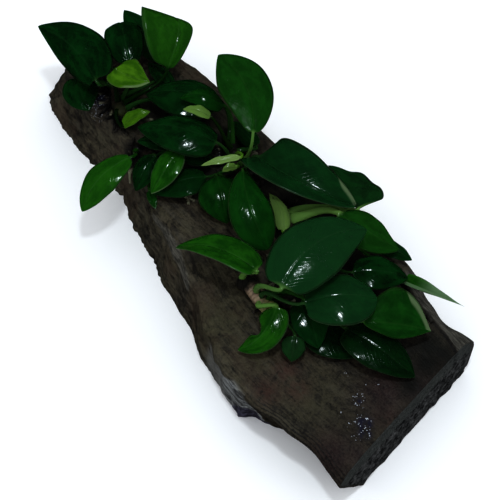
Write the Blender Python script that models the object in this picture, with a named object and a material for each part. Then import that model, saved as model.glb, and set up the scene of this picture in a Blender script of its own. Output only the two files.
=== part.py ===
"""Anubias grown on a sawn slab of driftwood, in metres.

The slab lies on its flat underside at z = 0, with its long side along X, its sawn end toward +X and its
worn bank toward -Y. Five creeping rhizomes grip the top, and every leaf rises from one of them.
"""
import math

import bmesh
import bpy
from mathutils import Vector, noise

MM = 0.001
TOUCH_GAP = 0.35

# The slab: how far along X it reaches, how thick it is, and how the sawn face leans and skews
SLAB_FAR_X = -198.0
SLAB_SAWN_X = 139.5
SLAB_TOP = 38.0
SAWN_SKEW = -0.12
SAWN_LEAN = -0.16
SAWN_BLEND = 70.0
FAR_LEAN = 0.42
FAR_BLEND = 30.0
SLAB_STATIONS = 46
TOP_POINTS = 9
TOP_RELIEF = 1.5
TOP_GRAIN = 16.0
# Each bank has points at these shares of its height, and bulges this much
BANK_SHARES = (0.35, 0.75)
BANK_RELIEF = 2.0
BANK_GRAIN = 14.0
BANK_SWELL = 1.0

# Where the slab's outline runs at these places along X: left foot, left rim, right rim, right foot
SLAB_OUTLINE = [
    (-198, -16, -6, 22, 26),
    (-185, -22, -8, 34, 38),
    (-165, -25, -11, 48, 50),
    (-145, -27, -13, 57, 60),
    (-125, -26, -14, 60, 62),
    (-100, -27, -16, 61, 63),
    (-70, -36, -25, 60, 62),
    (-50, -40, -30, 61, 62),
    (-25, -47, -36, 62, 64),
    (0, -51, -45, 63, 65),
    (30, -60, -56, 64, 65),
    (45, -62, -62, 65, 66),
    (55, -64, -65, 65, 66),
    (68, -65, -66, 64, 64),
    (77, -57, -65, 63, 62),
    (97, -48, -60, 59, 58),
    (118, -45, -56, 56, 53),
    (140, -38, -58, 60, 55),
]
# How far each rim lies below the top: the worn left side is rounder toward the far end
LEFT_SHOULDER = (3.5, 9.0)
SHOULDER_REACH = 120.0
RIGHT_SHOULDER = 3.0
# The lip beside the sawn end: the top falls away this far in from the right rim, by this drop
LIP_WIDTH = 10.0
LIP_DROP = 7.0
LIP_START_X = 70.0
LIP_BLEND = 30.0
# The top's near left corner dips a little at the sawn end, and the bank below it is undercut
CORNER_START_X = 95.0
CORNER_BLEND = 40.0
CORNER_WIDTH = 15.0
CORNER_DROP = 4.0

# The rhizomes: where each creeping stem starts and ends on the top of the slab, and its radius
RHIZOMES = {
    "plant1": ((-150, 8), (-120, -2), 4.2),
    "plant2": ((-98, -14), (-72, -4), 3.6),
    "plant3": ((-66, 36), (-22, 17), 4.4),
    "plant4": ((-6, 28), (22, 20), 3.8),
    "plant5": ((16, -23), (46, -19), 4.6),
}
RHIZOME_RINGS = 9
RHIZOME_SIDES = 8
RHIZOME_NODE_SWELL = 0.12
RHIZOME_END_TAPER = 0.55
RHIZOME_BEND = 1.5
RHIZOME_FOOT = 4.0

# A leaf's blade: how its width runs from base to tip, and how thick it is
PROFILE_RISE = 0.5
PROFILE_FALL = 0.8
# The basal lobes sweep back by this share of the blade's length, most of it close to the base
LOBE_SWEEP = 0.05
LOBE_PEAK = 23.0
LOBE_FADE = 8
RIB_THICKNESS = 1.0
BLADE_THICKNESS = 0.7
BLADE_STATIONS = (0.07, 0.2, 0.38, 0.56, 0.74, 0.9, 1.0)
PETIOLE_STATIONS = (0.0, 0.4, 0.8)
PETIOLE_RADIUS = 1.1
PETIOLE_TAPER = (1.15, 0.85)
# How strongly a stalk keeps its direction at the rhizome and at the blade, as shares of its reach
STALK_PULL = (0.4, 0.35)
# Stalks leave the rhizome between these shares of its length, and lean toward their blade
STALK_SPAN = (0.06, 0.94)
LEAN_PER_MM = 3.0
LEAN_LIMIT = 60.0
# The blade's last ring lies just short of its tip, and a blade thins where its half is narrower than this
NEAR_TIP = 0.999
TIP_SIZE = 0.3
THINNING_HALF = 3.0

TONES = {
    "dark": (0.012, 0.060, 0.022),
    "mid": (0.020, 0.110, 0.018),
    "bright": (0.045, 0.190, 0.015),
    "lime": (0.230, 0.420, 0.020),
}
WOOD_COLOUR = (0.045, 0.036, 0.030)
RHIZOME_COLOUR = (0.130, 0.120, 0.050)


def leaf(base, tip, width, tone="dark", lift=3.0, sway=0.0, roll=0.0, fold=(0, 0), curl=(-20, -20),
         rise=PROFILE_RISE, fall=PROFILE_FALL, halves=(1.0, 1.0), place=None, lean=None,
         pull=STALK_PULL[1]):
    """One leaf: base and tip of its blade, its width and its bow in millimetres, and its turn, fold and curl
    in degrees. Its left and right half are this much wider or narrower than an even leaf. Its stalk leaves
    the rhizome at this share of the rhizome's length, leaning this many degrees toward +Y, and this share of
    it lies in line with the blade."""
    return {"base": Vector(base), "tip": Vector(tip), "width": width, "tone": tone,
            "lift": lift, "sway": sway, "roll": math.radians(roll),
            "fold": [math.radians(a) for a in fold], "curl": [math.radians(a) for a in curl],
            "rise": rise, "fall": fall, "halves": halves, "place": place, "lean": lean, "pull": pull}


LEAVES = {
    "plant1": [
        leaf((-139, -8, 65), (-198, -11, 66), 42, lift=4, sway=-4, fold=(-45, 4), curl=(-30, -25),
             rise=0.6, halves=(0.8, 1.0), place=0.2),
        leaf((-161, -8, 47), (-138, -17, 43), 24, lift=2, sway=-2, fold=(-8, 0), curl=(-10, -20),
             place=0.1),
        leaf((-142, 46, 42), (-190, 49, 46), 23, lift=2, place=0.55),
        leaf((-140, 18, 60), (-177, 37, 51), 26, lift=12, curl=(-25, -25), place=0.65),
        leaf((-122, 34, 58), (-165, 57, 50), 31, "bright", lift=20, roll=28, curl=(0, 0), rise=0.5,
             fall=0.55, halves=(1.6, 0.92), place=0.78),
        leaf((-129, 1, 78), (-107, 11, 78), 25, "lime", lift=1, sway=-2, curl=(0, 0), rise=0.4, fall=0.9,
             halves=(1.05, 0.85), place=0.7, lean=0, pull=0.12),
        leaf((-114, -8, 44), (-108, 9, 50), 11, "lime", lift=2, fold=(15, 15), curl=(0, 0), place=0.92,
             lean=-60),
        leaf((-117, 33, 47), (-142, 33, 48), 12, lift=2, place=0.98),
    ],
    "plant2": [
        leaf((-67, 0, 60), (-60, -27, 48), 17, "bright", lift=3, sway=1, curl=(-20, -10), place=0.95),
        leaf((-78, -10, 52), (-71, -31, 42), 17, lift=4, curl=(-20, -30), place=0.45, lean=-70),
        leaf((-84, -23, 56), (-81, -64, 40), 23, "bright", lift=6, sway=-3, fold=(0, -10), place=0.1,
             lean=-60),
        leaf((-66, -24, 41), (-54, -29, 40), 6, "mid", lift=1, curl=(0, 0), place=0.75, lean=-70),
        leaf((-76, 4, 54), (-93, -12, 53), 14, lift=3, place=0.7, lean=40),
    ],
    "plant3": [
        leaf((-87, 46, 52), (-120, 15, 51), 24, lift=6, curl=(-25, -25), halves=(1.55, 1.0)),
        leaf((-74, 42, 62), (-96, 24, 63), 18, "mid", lift=8, fold=(-10, -10), curl=(-40, -40)),
        leaf((-72, 29, 64), (-86, 19, 66), 8, "lime", lift=3, curl=(0, 0)),
        leaf((-54, 20, 64), (-97, -8, 60), 32, lift=8, fold=(-5, -10), curl=(-25, -30)),
        leaf((-48, 6, 48), (-63, -24, 42), 22, lift=4, curl=(-20, -30)),
        leaf((-42, 9, 53), (-18, -3, 41), 29, "mid", lift=5, curl=(-30, -30), rise=0.6),
        leaf((-28, 18, 66), (17, -0.5, 54), 27, "mid", lift=8, sway=-4, curl=(-30, -30), rise=0.85,
             fall=0.55, place=0.97, lean=40),
        leaf((-56, 17, 47), (-73, 1, 47), 14, lift=3),
        leaf((-49, 46, 43), (-73, 46, 44), 13, lift=2),
        leaf((-36, 35, 76), (-94, 53, 84), 33, "mid", lift=3, sway=-5, fold=(5, 5), curl=(-10, -30),
             rise=0.8),
        leaf((-32, 19, 74), (-43, -1, 72), 5.5, "lime", lift=1, fold=(10, 10), curl=(0, 0), place=0.4,
             lean=0, pull=0.12),
        leaf((-38, 21, 56), (-40, 13, 56), 6, "lime", lift=1, fold=(20, 20), curl=(0, 0), place=0.55),
        leaf((-34, 35, 58), (27, 57.5, 56), 47, lift=8, sway=-4, roll=18, fold=(0, 62), rise=0.22, fall=0.62,
             halves=(0.93, 0.85)),
    ],
    "plant4": [
        leaf((31, 56, 49), (-8, 69, 46), 29, lift=3, sway=1, fold=(100, 0), curl=(0, -15), rise=0.22,
             fall=0.8, halves=(0.3, 1.35), pull=0.08),
        leaf((10, 17, 54), (-9, 26, 50), 9, "lime", lift=2, curl=(0, 0)),
        leaf((27, 45, 58), (64, 59, 50), 25, "mid", lift=6, sway=-4),
        leaf((49, 55, 43), (71, 64, 41), 12, lift=2),
        leaf((59, 26, 54), (80, 51, 47), 23, lift=5),
        leaf((79, 49, 45), (113, 59, 54), 11, "bright", lift=1, roll=20, curl=(0, 0), rise=0.3, fall=1.5,
             halves=(1.1, 0.4)),
    ],
    "plant5": [
        leaf((51, -21, 80), (52, 41, 76), 40, lift=8, sway=7, curl=(-30, -30), fall=0.7, place=0.5, lean=0),
        leaf((29, -19, 66), (-19, -40, 52), 25, "bright", lift=6, sway=-4, fold=(35, 0), curl=(-10, -30)),
        leaf((87, 7, 60), (113, 36, 50), 30, "mid", lift=3, fold=(12, -25), curl=(0, -20), rise=1.1,
             fall=1.15, halves=(1.6, 0.55), place=0.82, lean=30),
        leaf((61, -13, 68), (84, 20, 66), 29, lift=7, fall=0.5, halves=(1.0, 1.2), place=0.66, lean=10),
        leaf((55, -8, 56), (80, -18, 48), 22, lift=3, place=0.7, lean=60),
        leaf((81, 1, 50), (125, 13, 42), 26, lift=4, curl=(-10, -10), place=0.95, lean=60),
        leaf((65, -14, 44), (96, -1, 41), 22, lift=2, curl=(-10, -10), place=1.0, lean=-10),
        leaf((67, -24, 51), (75, -33, 43), 14, lift=2, place=0.95, lean=-60),
        leaf((49, -22, 58), (50, -51, 42), 25, "bright", lift=4, sway=6, fold=(-10, -20), curl=(-20, -30),
             rise=0.42, halves=(0.82, 1.05), place=0.75, lean=-60),
    ],
}


def ease(t):
    t = min(max(t, 0.0), 1.0)
    return t * t * (3.0 - 2.0 * t)


def bezier(points, t):
    a, b, c, d = points
    u = 1.0 - t
    return a * u ** 3 + b * (3 * t * u * u) + c * (3 * t * t * u) + d * t ** 3


def bezier_direction(points, t):
    a, b, c, d = points
    u = 1.0 - t
    return ((b - a) * (u * u) + (c - b) * (2 * t * u) + (d - c) * (t * t)).normalized()


def material(name, colour, roughness):
    made = bpy.data.materials.new(name)
    made.use_nodes = True
    shader = made.node_tree.nodes["Principled BSDF"]
    shader.inputs["Base Color"].default_value = (*colour, 1.0)
    shader.inputs["Roughness"].default_value = roughness
    shader.inputs["Metallic"].default_value = 0.0
    made.diffuse_color = (*colour, 1.0)
    return made


def add_object(name, rings, made):
    """A closed solid through rings of points given in millimetres, with its ends filled."""
    mesh = bpy.data.meshes.new(name)
    build = bmesh.new()
    loops = [[build.verts.new(p * MM) for p in ring] for ring in rings]
    count = len(loops[0])
    for near, far in zip(loops, loops[1:]):
        for i in range(count):
            j = (i + 1) % count
            build.faces.new((near[i], near[j], far[j], far[i]))
    build.faces.new(loops[0][::-1])
    build.faces.new(loops[-1])
    bmesh.ops.recalc_face_normals(build, faces=build.faces)
    build.to_mesh(mesh)
    build.free()
    mesh.materials.append(made)
    thing = bpy.data.objects.new(name, mesh)
    bpy.context.collection.objects.link(thing)
    return thing


def outline_at(x):
    """Left foot, left rim, right rim and right foot of the slab at one place along it."""
    for near, far in zip(SLAB_OUTLINE, SLAB_OUTLINE[1:]):
        if x <= far[0]:
            t = ease((x - near[0]) / (far[0] - near[0]))
            return [a + (b - a) * t for a, b in zip(near[1:], far[1:])]
    return list(SLAB_OUTLINE[-1][1:])


def wood_noise(x, y, z, size):
    return noise.noise(Vector((x / (size * 2.2), y / size, z / size)))


def top_height(x, y):
    """Height of the slab's top: gently uneven, with a lip on the right and a dipping left corner."""
    left_foot, left_rim, right_rim, right_foot = outline_at(x)
    height = SLAB_TOP + TOP_RELIEF * wood_noise(x, y, 0.0, TOP_GRAIN)
    lip = ease((y - (right_rim - LIP_WIDTH)) / LIP_WIDTH) * ease((x - LIP_START_X) / LIP_BLEND)
    corner = ease(((left_rim + CORNER_WIDTH) - y) / CORNER_WIDTH) * ease((x - CORNER_START_X) / CORNER_BLEND)
    return height - lip * LIP_DROP - corner * CORNER_DROP


def end_shift(x, y, z):
    """How far a point moves along X, so that the sawn face is one plane and the far end slopes."""
    sawn = ease(1.0 - (SLAB_SAWN_X - x) / SAWN_BLEND)
    far = ease(1.0 - (x - SLAB_FAR_X) / FAR_BLEND)
    return sawn * (SAWN_SKEW * y + SAWN_LEAN * z) + far * FAR_LEAN * z


def slab_ring(x):
    left_foot, left_rim, right_rim, right_foot = outline_at(x)
    ring = [(left_foot, 0.0), ((left_foot + right_foot) / 2, 0.0), (right_foot, 0.0)]
    right_height = top_height(x, right_rim) - RIGHT_SHOULDER
    worn = LEFT_SHOULDER[0] + (LEFT_SHOULDER[1] - LEFT_SHOULDER[0]) * ease(-x / SHOULDER_REACH)
    left_height = top_height(x, left_rim) - worn
    for share in BANK_SHARES:
        bulge = BANK_SWELL + BANK_RELIEF * wood_noise(x, right_foot, share * SLAB_TOP, BANK_GRAIN)
        ring.append((right_foot + (right_rim - right_foot) * share + bulge, right_height * share))
    ring.append((right_rim, right_height))
    for i in range(TOP_POINTS):
        share = (i + 0.5) / TOP_POINTS
        y = right_rim + (left_rim - right_rim) * share
        ring.append((y, top_height(x, y)))
    ring.append((left_rim, left_height))
    for share in reversed(BANK_SHARES):
        bulge = BANK_RELIEF * wood_noise(x, left_foot, share * SLAB_TOP, BANK_GRAIN)
        ring.append((left_foot + (left_rim - left_foot) * share - bulge, left_height * share))
    return [Vector((x + end_shift(x, y, z), y, z)) for y, z in ring]


def make_driftwood():
    reach = SLAB_SAWN_X - SLAB_FAR_X
    rings = [slab_ring(SLAB_FAR_X + reach * i / (SLAB_STATIONS - 1)) for i in range(SLAB_STATIONS)]
    return add_object("driftwood", rings, material("driftwood", WOOD_COLOUR, 0.35))


def rhizome_axis(plant, t):
    """A point on the creeping stem's axis, resting just above the wood."""
    (x0, y0), (x1, y1), radius = RHIZOMES[plant]
    x, y = x0 + (x1 - x0) * t, y0 + (y1 - y0) * t
    across = Vector((y0 - y1, x1 - x0, 0.0)).normalized()
    steps = (-RHIZOME_FOOT, 0.0, RHIZOME_FOOT)
    below = max(top_height(x + dx, y + dy) for dx in steps for dy in steps)
    bend = RHIZOME_BEND * math.sin(t * math.pi * 2.0)
    return Vector((x, y, below + radius * (1 + RHIZOME_NODE_SWELL) + TOUCH_GAP)) + across * bend


def rhizome_frame(plant, t):
    ahead = (rhizome_axis(plant, min(t + 0.05, 1.0)) - rhizome_axis(plant, max(t - 0.05, 0.0))).normalized()
    side = Vector((0.0, 0.0, 1.0)).cross(ahead).normalized()
    return side, ahead.cross(side)


def make_rhizome(plant, made):
    radius = RHIZOMES[plant][2]
    rings = []
    for i in range(RHIZOME_RINGS):
        t = i / (RHIZOME_RINGS - 1)
        side, up = rhizome_frame(plant, t)
        swell = 1.0 + RHIZOME_NODE_SWELL * (1 if i % 2 else -1)
        taper = RHIZOME_END_TAPER if i in (0, RHIZOME_RINGS - 1) else 1.0
        centre = rhizome_axis(plant, t)
        ring = []
        for k in range(RHIZOME_SIDES):
            turn = 2 * math.pi * k / RHIZOME_SIDES
            ring.append(centre + (side * math.cos(turn) + up * math.sin(turn)) * radius * swell * taper)
        rings.append(ring)
    return add_object(plant + "_rhizome", rings, made)


def width_share(shape, t):
    """How wide the blade is at t, as a share of its widest."""
    a, b = shape["rise"], shape["fall"]
    widest = a / (a + b)
    return t ** a * (1.0 - t) ** b / (widest ** a * (1.0 - widest) ** b)


def blade_frame(shape):
    """The midrib's four control points, and the blade's side and face directions at its base."""
    chord = shape["tip"] - shape["base"]
    ahead = chord.normalized()
    side = Vector((0.0, 0.0, 1.0)).cross(ahead).normalized()
    face = ahead.cross(side)
    turn = shape["roll"]
    side, face = side * math.cos(turn) + face * math.sin(turn), face * math.cos(turn) - side * math.sin(turn)
    bow = face * (shape["lift"] * 4 / 3) + side * (shape["sway"] * 4 / 3)
    base, tip = shape["base"], shape["tip"]
    return (base, base + chord / 3 + bow, tip - chord / 3 + bow, tip), face


def across_blade(half_width, share, fold, curl):
    """How far out and up a point of the half blade lies, at this share of the way to the margin."""
    if abs(curl) < 0.01:
        return half_width * share * math.cos(fold), half_width * share * math.sin(fold)
    out = half_width * (math.sin(fold + curl * share) - math.sin(fold)) / curl
    up = half_width * (math.cos(fold) - math.cos(fold + curl * share)) / curl
    return out, up


def blade_ring(shape, rib, face, t):
    """Eight points round the blade: left margin, over the top to the right margin, and back below."""
    length = (shape["tip"] - shape["base"]).length
    centre = bezier(rib, t)
    ahead = bezier_direction(rib, t)
    normal = (face - ahead * face.dot(ahead)).normalized()
    left = normal.cross(ahead)
    even_half = max(shape["width"] / 2 * width_share(shape, min(t, NEAR_TIP)), TIP_SIZE)
    thin = min(1.0, even_half / THINNING_HALF)

    def spot(share, height):
        hand = 0 if share > 0 else 1
        half = max(even_half * shape["halves"][hand], TIP_SIZE)
        out, up = across_blade(half, abs(share), shape["fold"][hand], shape["curl"][hand])
        sweep = LOBE_SWEEP * length * share * share * LOBE_PEAK * t * (1.0 - t) ** LOBE_FADE
        return centre + left * math.copysign(out, share) + normal * (up + height * thin) - ahead * sweep

    rib_half, blade_half = RIB_THICKNESS / 2, BLADE_THICKNESS / 2
    rib_rise = normal * (rib_half * thin)
    return [spot(1.0, 0.0), spot(0.5, blade_half), centre + rib_rise, spot(-0.5, blade_half),
            spot(-1.0, 0.0), spot(-0.5, -blade_half), centre - rib_rise, spot(0.5, -blade_half)]


def petiole_start(plant, place, angle):
    """Where a leaf stalk leaves its rhizome, and which way it points there."""
    side, up = rhizome_frame(plant, place)
    out = side * math.sin(angle) + up * math.cos(angle)
    radius = RHIZOMES[plant][2] * (1 + RHIZOME_NODE_SWELL) + TOUCH_GAP
    return rhizome_axis(plant, place) + out * radius, out


def petiole_rings(start, out, shape, rib, face):
    reach = (shape["base"] - start).length
    blade_way = bezier_direction(rib, 0.0)
    leave, arrive = STALK_PULL[0], shape["pull"]
    path = (start, start + out * reach * leave, shape["base"] - blade_way * reach * arrive, shape["base"])
    rings = []
    for t in PETIOLE_STATIONS:
        centre = bezier(path, t)
        ahead = bezier_direction(path, t)
        normal = (face - ahead * face.dot(ahead)).normalized()
        left = normal.cross(ahead)
        radius = PETIOLE_RADIUS * (PETIOLE_TAPER[0] + (PETIOLE_TAPER[1] - PETIOLE_TAPER[0]) * t)
        turns = [math.pi * k / 4 for k in range(8)]
        rings.append([centre + (left * math.cos(a) + normal * math.sin(a)) * radius for a in turns])
    return rings


def leaf_places(plant):
    """Where each leaf's stalk leaves the rhizome, and how far it leans: in the order that the blades lie
    along the rhizome and turned to their side, unless the leaf says otherwise."""
    first, last = rhizome_axis(plant, 0.0), rhizome_axis(plant, 1.0)
    along = (last - first).normalized()
    side = Vector((0.0, 0.0, 1.0)).cross(along).normalized()
    shapes = LEAVES[plant]
    near, far = STALK_SPAN
    order = sorted(range(len(shapes)), key=lambda i: (shapes[i]["base"] - first).dot(along))
    places = {}
    for rank, i in enumerate(order):
        offset = (shapes[i]["base"] - (first + last) / 2).dot(side)
        lean = shapes[i]["lean"]
        if lean is None:
            lean = max(-LEAN_LIMIT, min(LEAN_LIMIT, offset * LEAN_PER_MM))
        share = shapes[i]["place"]
        if share is None:
            share = (rank + 0.5) / len(shapes)
        places[i] = (near + (far - near) * share, math.radians(lean))
    return places


def make_leaf(plant, index, place, angle, made):
    shape = LEAVES[plant][index]
    rib, face = blade_frame(shape)
    start, out = petiole_start(plant, place, angle)
    rings = petiole_rings(start, out, shape, rib, face)
    rings += [blade_ring(shape, rib, face, t) for t in BLADE_STATIONS]
    return add_object("%s_leaf%d" % (plant, index + 1), rings, made)


def main():
    for old in list(bpy.data.objects):
        bpy.data.objects.remove(old, do_unlink=True)
    make_driftwood()
    stem = material("rhizome", RHIZOME_COLOUR, 0.45)
    tones = {tone: material("leaf_" + tone, colour, 0.25) for tone, colour in TONES.items()}
    for plant in RHIZOMES:
        make_rhizome(plant, stem)
        for index, (place, angle) in sorted(leaf_places(plant).items()):
            make_leaf(plant, index, place, angle, tones[LEAVES[plant][index]["tone"]])


main()
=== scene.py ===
"""Anubias on driftwood: the finish of the wet slab, its creeping rhizomes, their leaves and their roots.

Lengths are in millimetres until a mesh is made. The slab's outline, the rhizomes and the leaves repeat the
part's own values, so that each finished piece lies on the solid that it stands for. A few leaves lie some
millimetres off theirs, where that is closer to the real ones.
"""
import math
import random

import bpy
import numpy as np
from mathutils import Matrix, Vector, noise
from mathutils.bvhtree import BVHTree


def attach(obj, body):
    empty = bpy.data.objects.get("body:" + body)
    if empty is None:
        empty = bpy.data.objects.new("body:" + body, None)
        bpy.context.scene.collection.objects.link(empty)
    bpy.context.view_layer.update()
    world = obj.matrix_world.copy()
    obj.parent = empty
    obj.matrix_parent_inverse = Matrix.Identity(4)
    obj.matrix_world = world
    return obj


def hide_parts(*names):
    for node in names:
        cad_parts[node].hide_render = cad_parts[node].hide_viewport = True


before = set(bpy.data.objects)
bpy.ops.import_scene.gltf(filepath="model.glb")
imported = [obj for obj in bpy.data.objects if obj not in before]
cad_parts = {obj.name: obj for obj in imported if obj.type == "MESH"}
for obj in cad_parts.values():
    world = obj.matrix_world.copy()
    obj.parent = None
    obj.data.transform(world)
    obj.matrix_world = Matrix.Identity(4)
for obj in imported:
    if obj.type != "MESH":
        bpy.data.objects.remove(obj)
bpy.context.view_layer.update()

MM = 0.001
SEED = 7

# The camera: where it looks, from which side and how high, and its lens
SENSOR_WIDTH = 36.0
LOOK_AT = Vector((0.0, 0.0, 0.030))
CAMERA_AZIMUTH = 50.0
CAMERA_ELEVATION = 60.0
CAMERA_DISTANCE = 0.62
CAMERA_LENS = 74.4

# The slab, as in the part
SLAB_FAR_X = -198.0
SLAB_SAWN_X = 139.5
SLAB_TOP = 38.0
GRAIN_STRETCH = 2.2
SAWN_SKEW = -0.12
SAWN_LEAN = -0.16
SAWN_BLEND = 70.0
FAR_LEAN = 0.42
FAR_BLEND = 30.0
TOP_POINTS = 9
TOP_RELIEF = 1.5
TOP_GRAIN = 16.0
BANK_SHARES = (0.35, 0.75)
BANK_RELIEF = 2.0
BANK_GRAIN = 14.0
BANK_SWELL = 1.0
SLAB_OUTLINE = [
    (-198, -16, -6, 22, 26),
    (-185, -22, -8, 34, 38),
    (-165, -25, -11, 48, 50),
    (-145, -27, -13, 57, 60),
    (-125, -26, -14, 60, 62),
    (-100, -27, -16, 61, 63),
    (-70, -36, -25, 60, 62),
    (-50, -40, -30, 61, 62),
    (-25, -47, -36, 62, 64),
    (0, -51, -45, 63, 65),
    (30, -60, -56, 64, 65),
    (45, -62, -62, 65, 66),
    (55, -64, -65, 65, 66),
    (68, -65, -66, 64, 64),
    (77, -57, -65, 63, 62),
    (97, -48, -60, 59, 58),
    (118, -45, -56, 56, 53),
    (140, -38, -58, 60, 55),
]
LEFT_SHOULDER = (3.5, 9.0)
SHOULDER_REACH = 120.0
RIGHT_SHOULDER = 3.0
LIP_WIDTH = 10.0
LIP_DROP = 7.0
LIP_START_X = 70.0
LIP_BLEND = 30.0
CORNER_START_X = 95.0
CORNER_BLEND = 40.0
CORNER_WIDTH = 15.0
CORNER_DROP = 4.0

# The slab's finished surface: stations along it, points on each stretch of its outline, and rings on each end
WOOD_STATIONS = 380
BOTTOM_STEPS = 10
BANK_STEPS = 12
TOP_STEPS = 10
RIM_SMOOTHING = 8
END_RINGS = 26
# Its relief: how high and how long and wide the lumps, furrows and fibres are
LUMPS = (0.9, 34.0, 20.0)
FURROWS = (0.45, 40.0, 7.0)
FIBRES = (0.16, 12.0, 1.8)
# The relief fades out this close to the flat underside. It is this much of itself at each end, and full
# this many stations further in; the ends' own roughness is full this many rings in from their edge
UNDERSIDE_BLEND = 4.0
END_RELIEF = 0.4
END_BLEND_STATIONS = 5.0
END_BLEND_RINGS = 3.0
# The broken surface: the height and size of its layers, its share on the top, and where it grows to the full
RAGGED = [(1.5, 8.0), (0.75, 3.4)]
RAGGED_STRETCH = 1.5
RAGGED_SHARE = 0.18
RAGGED_FROM_X = -90.0
RAGGED_BLEND = 60.0
# The banks' share of it, below this height and over this blend
RAGGED_BANK = (0.45, 30.0, 10.0)
# Drying cracks: their depth, width, length and spacing, and the lengths over which they come and go
CRACK_DEPTH = 0.8
CRACK_WIDTH = 0.035
CRACK_SIZE = (70.0, 7.0)
CRACK_SPREAD = (40.0, 30.0)
CRACK_GAIN = 3.0
# The saw marks and the hollows of the broken end: their depth and size
SAW_MARKS = 0.35
SAW_MARK_SIZE = (2.0, 2.5)
BROKEN_END = 1.6
BROKEN_SIZE = (7.0, 5.0)
# The lower edge of the sawn face is chipped away this far in, up to this height
CHIP_DEPTH = 1.9
CHIP_HEIGHT = 9.0
CHIP_REACH = 10.0
CHIP_SHARE = 0.35
# The chips' layers: share, width, height and place in the noise
CHIPS = [(1.0, 6.0, 5.0, 70.0), (0.6, 2.2, 2.0, 75.0)]
# The places in the noise where the other patterns are read, so that no two are alike
NOISE_LAYERS = {"drift": 3.0, "saw": 5.0, "relief": 10.0, "split": 40.0, "spread": 60.0, "ragged": 90.0}
# How far the grain drifts sideways, and over what length and width
GRAIN_DRIFT = 5.0
GRAIN_DRIFT_SIZE = (90.0, 60.0)
KNOT_STRETCH = 1.6
# Knots that the grain bends round: place, reach, and how far they push it aside
KNOTS = [
    (92, -30, 22, 9),
    (28, -34, 26, 6),
    (-112, -8, 18, 5),
    (-32, 44, 20, 6),
    (112, 24, 20, -6),
]
# The crack between the top and the lip, the dark line that it runs on in, and the worn streak on the left
# rim;
# the crack and the line are painted dark as shade
LIP_CRACK = [(76, 51.4), (90, 48.6), (99, 47.4), (105, 47)]
LIP_CRACK_DEPTH = 5.0
LIP_CRACK_WIDTH = 1.5
LIP_CRACK_FLAT = 1.25
LIP_LINE = [(105, 47), (118, 45.5), (130, 42.5), (140, 40)]
LIP_LINE_WIDTH = 0.9
LIP_LINE_FLAT = 1.5
LIP_LINE_SHARE = 0.7
LIP_WORN_FROM_X = 66.0
LIP_WORN_BLEND = 14.0
LIP_WORN_INSET = 0.3
LIP_WORN_BLUR = 2.2
STREAK = [(-58, -32), (-41, -33), (-33, -34.5), (-24, -37), (-14, -41), (-5, -46)]
STREAK_WIDTH = 6.0
# The heights from which marks show on the slab, and over how much height they fade in
LIP_HEIGHT = (16.0, 8.0)
LAYERS_HEIGHT = (18.0, 8.0)
CRACK_HEIGHT = (20.0, 6.0)
PATCH_HEIGHT = (20.0, 8.0)
TOP_HEIGHT = (25.0, 5.0)
# The pale split facet on the left bank, and the dark lump under its near end: the places along each one's
# edge, and its height there
FACET_EDGE = [(28, 30), (40, 29), (50, 32), (61, 36), (71, 36.2), (78, 31), (83, 10)]
FACET_FADE = 8.0
FACET_PALE = 0.45
FACET_PALE_FROM_X = 42.0
FACET_PALE_BLEND = 16.0
LUMP_EDGE = [(60, 0), (63, 9), (68, 17), (78, 17), (84, 4)]
EDGE_BLUR = 1.6
# How far over the left rim a mark on the bank goes
BANK_EDGE = 4.0
BANK_BLEND = 2.0
# Broken layers along the left rim, with painted shade in their gaps, and the smooth strip along the top of
# the sawn face
LAYERS_REACH = 9.0
LAYERS_BLUR = 4.0
LAYERS_FROM_X = 70.0
LAYERS_BLEND = 15.0
STRIP_DEPTH = 15.0
STRIP_BLEND = 5.0
# Patches on the top, each with its reach: olive, reddish, plum, bluish with a painted reflection, beaded with
# drops that carry painted glints, or in the shade of the leaves
PATCHES = {
    "olive": [(29, -46, 15), (98, -38, 17), (60, -45, 10), (-95, -16, 12)],
    "red": [(78, -53, 8), (75, -37, 8), (88, -40, 7), (127, -51, 11), (130, -14, 8), (119, -2, 9),
            (134, 26, 10)],
    "plum": [(-138, -2, 9), (120, -6, 14), (128, -50, 12), (136, -40, 8), (112, 4, 12), (132, 12, 12)],
    "blue_reflection": [(126, -25, 4), (130, -28.5, 3.5), (114, -19, 2), (-143, -4, 5)],
    "drops": [(113, -18, 5), (116, -21, 4), (124, -25, 6.5), (129, -28, 6), (130, -34, 2.5), (121, -32, 2),
              (127, -35, 2), (113, -31, 1.6), (98.5, -13, 2.2), (110, -9, 1.8), (114, -4.5, 1.6),
              (-142, -4, 14)],
    "shade": [(-112, 20, 15), (-90, 32, 14), (-62, 38, 14), (-60, 12, 16), (-40, 18, 15), (-30, 40, 17),
              (-5, 38, 18), (20, 36, 18), (45, 30, 20), (70, 26, 17), (60, -3, 12), (95, 20, 10),
              (108, 19, 10), (116, 33, 12), (122, 27, 11), (124, 37, 8), (126, 10, 7), (129, 37, 6)],
}
# How strongly the painted bluish reflection on the wet film comes in
REFLECTION_GAIN = 1.6
# Where the wood is black and wet: along each rhizome, but only the growing end of the last one
SOAKED_LINES = [
    [(-150, 8), (-120, -2)],
    [(-98, -14), (-72, -4)],
    [(-66, 36), (-22, 17)],
    [(-6, 28), (22, 20)],
    [(50, -5), (60, -3)],
]
SOAKED_REACH = 10.0
SOAKED_FLAT = 1.3
# How far the left bank's foot is broken along the slab: height and length of each layer
FOOT_BREAKS = [(1.5, 5.0), (1.1, 2.2)]
FOOT_FROM_X = -15.0
FOOT_BLEND = 30.0
FOOT_SHARE = 0.25
FOOT_NOISE = (30.0, 110.0)
FOOT_HEIGHT = 9.0
FOOT_DEPTH = 6.0
LUMP_X = 71.0
LUMP_HALF_LENGTH = 14.0
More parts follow.
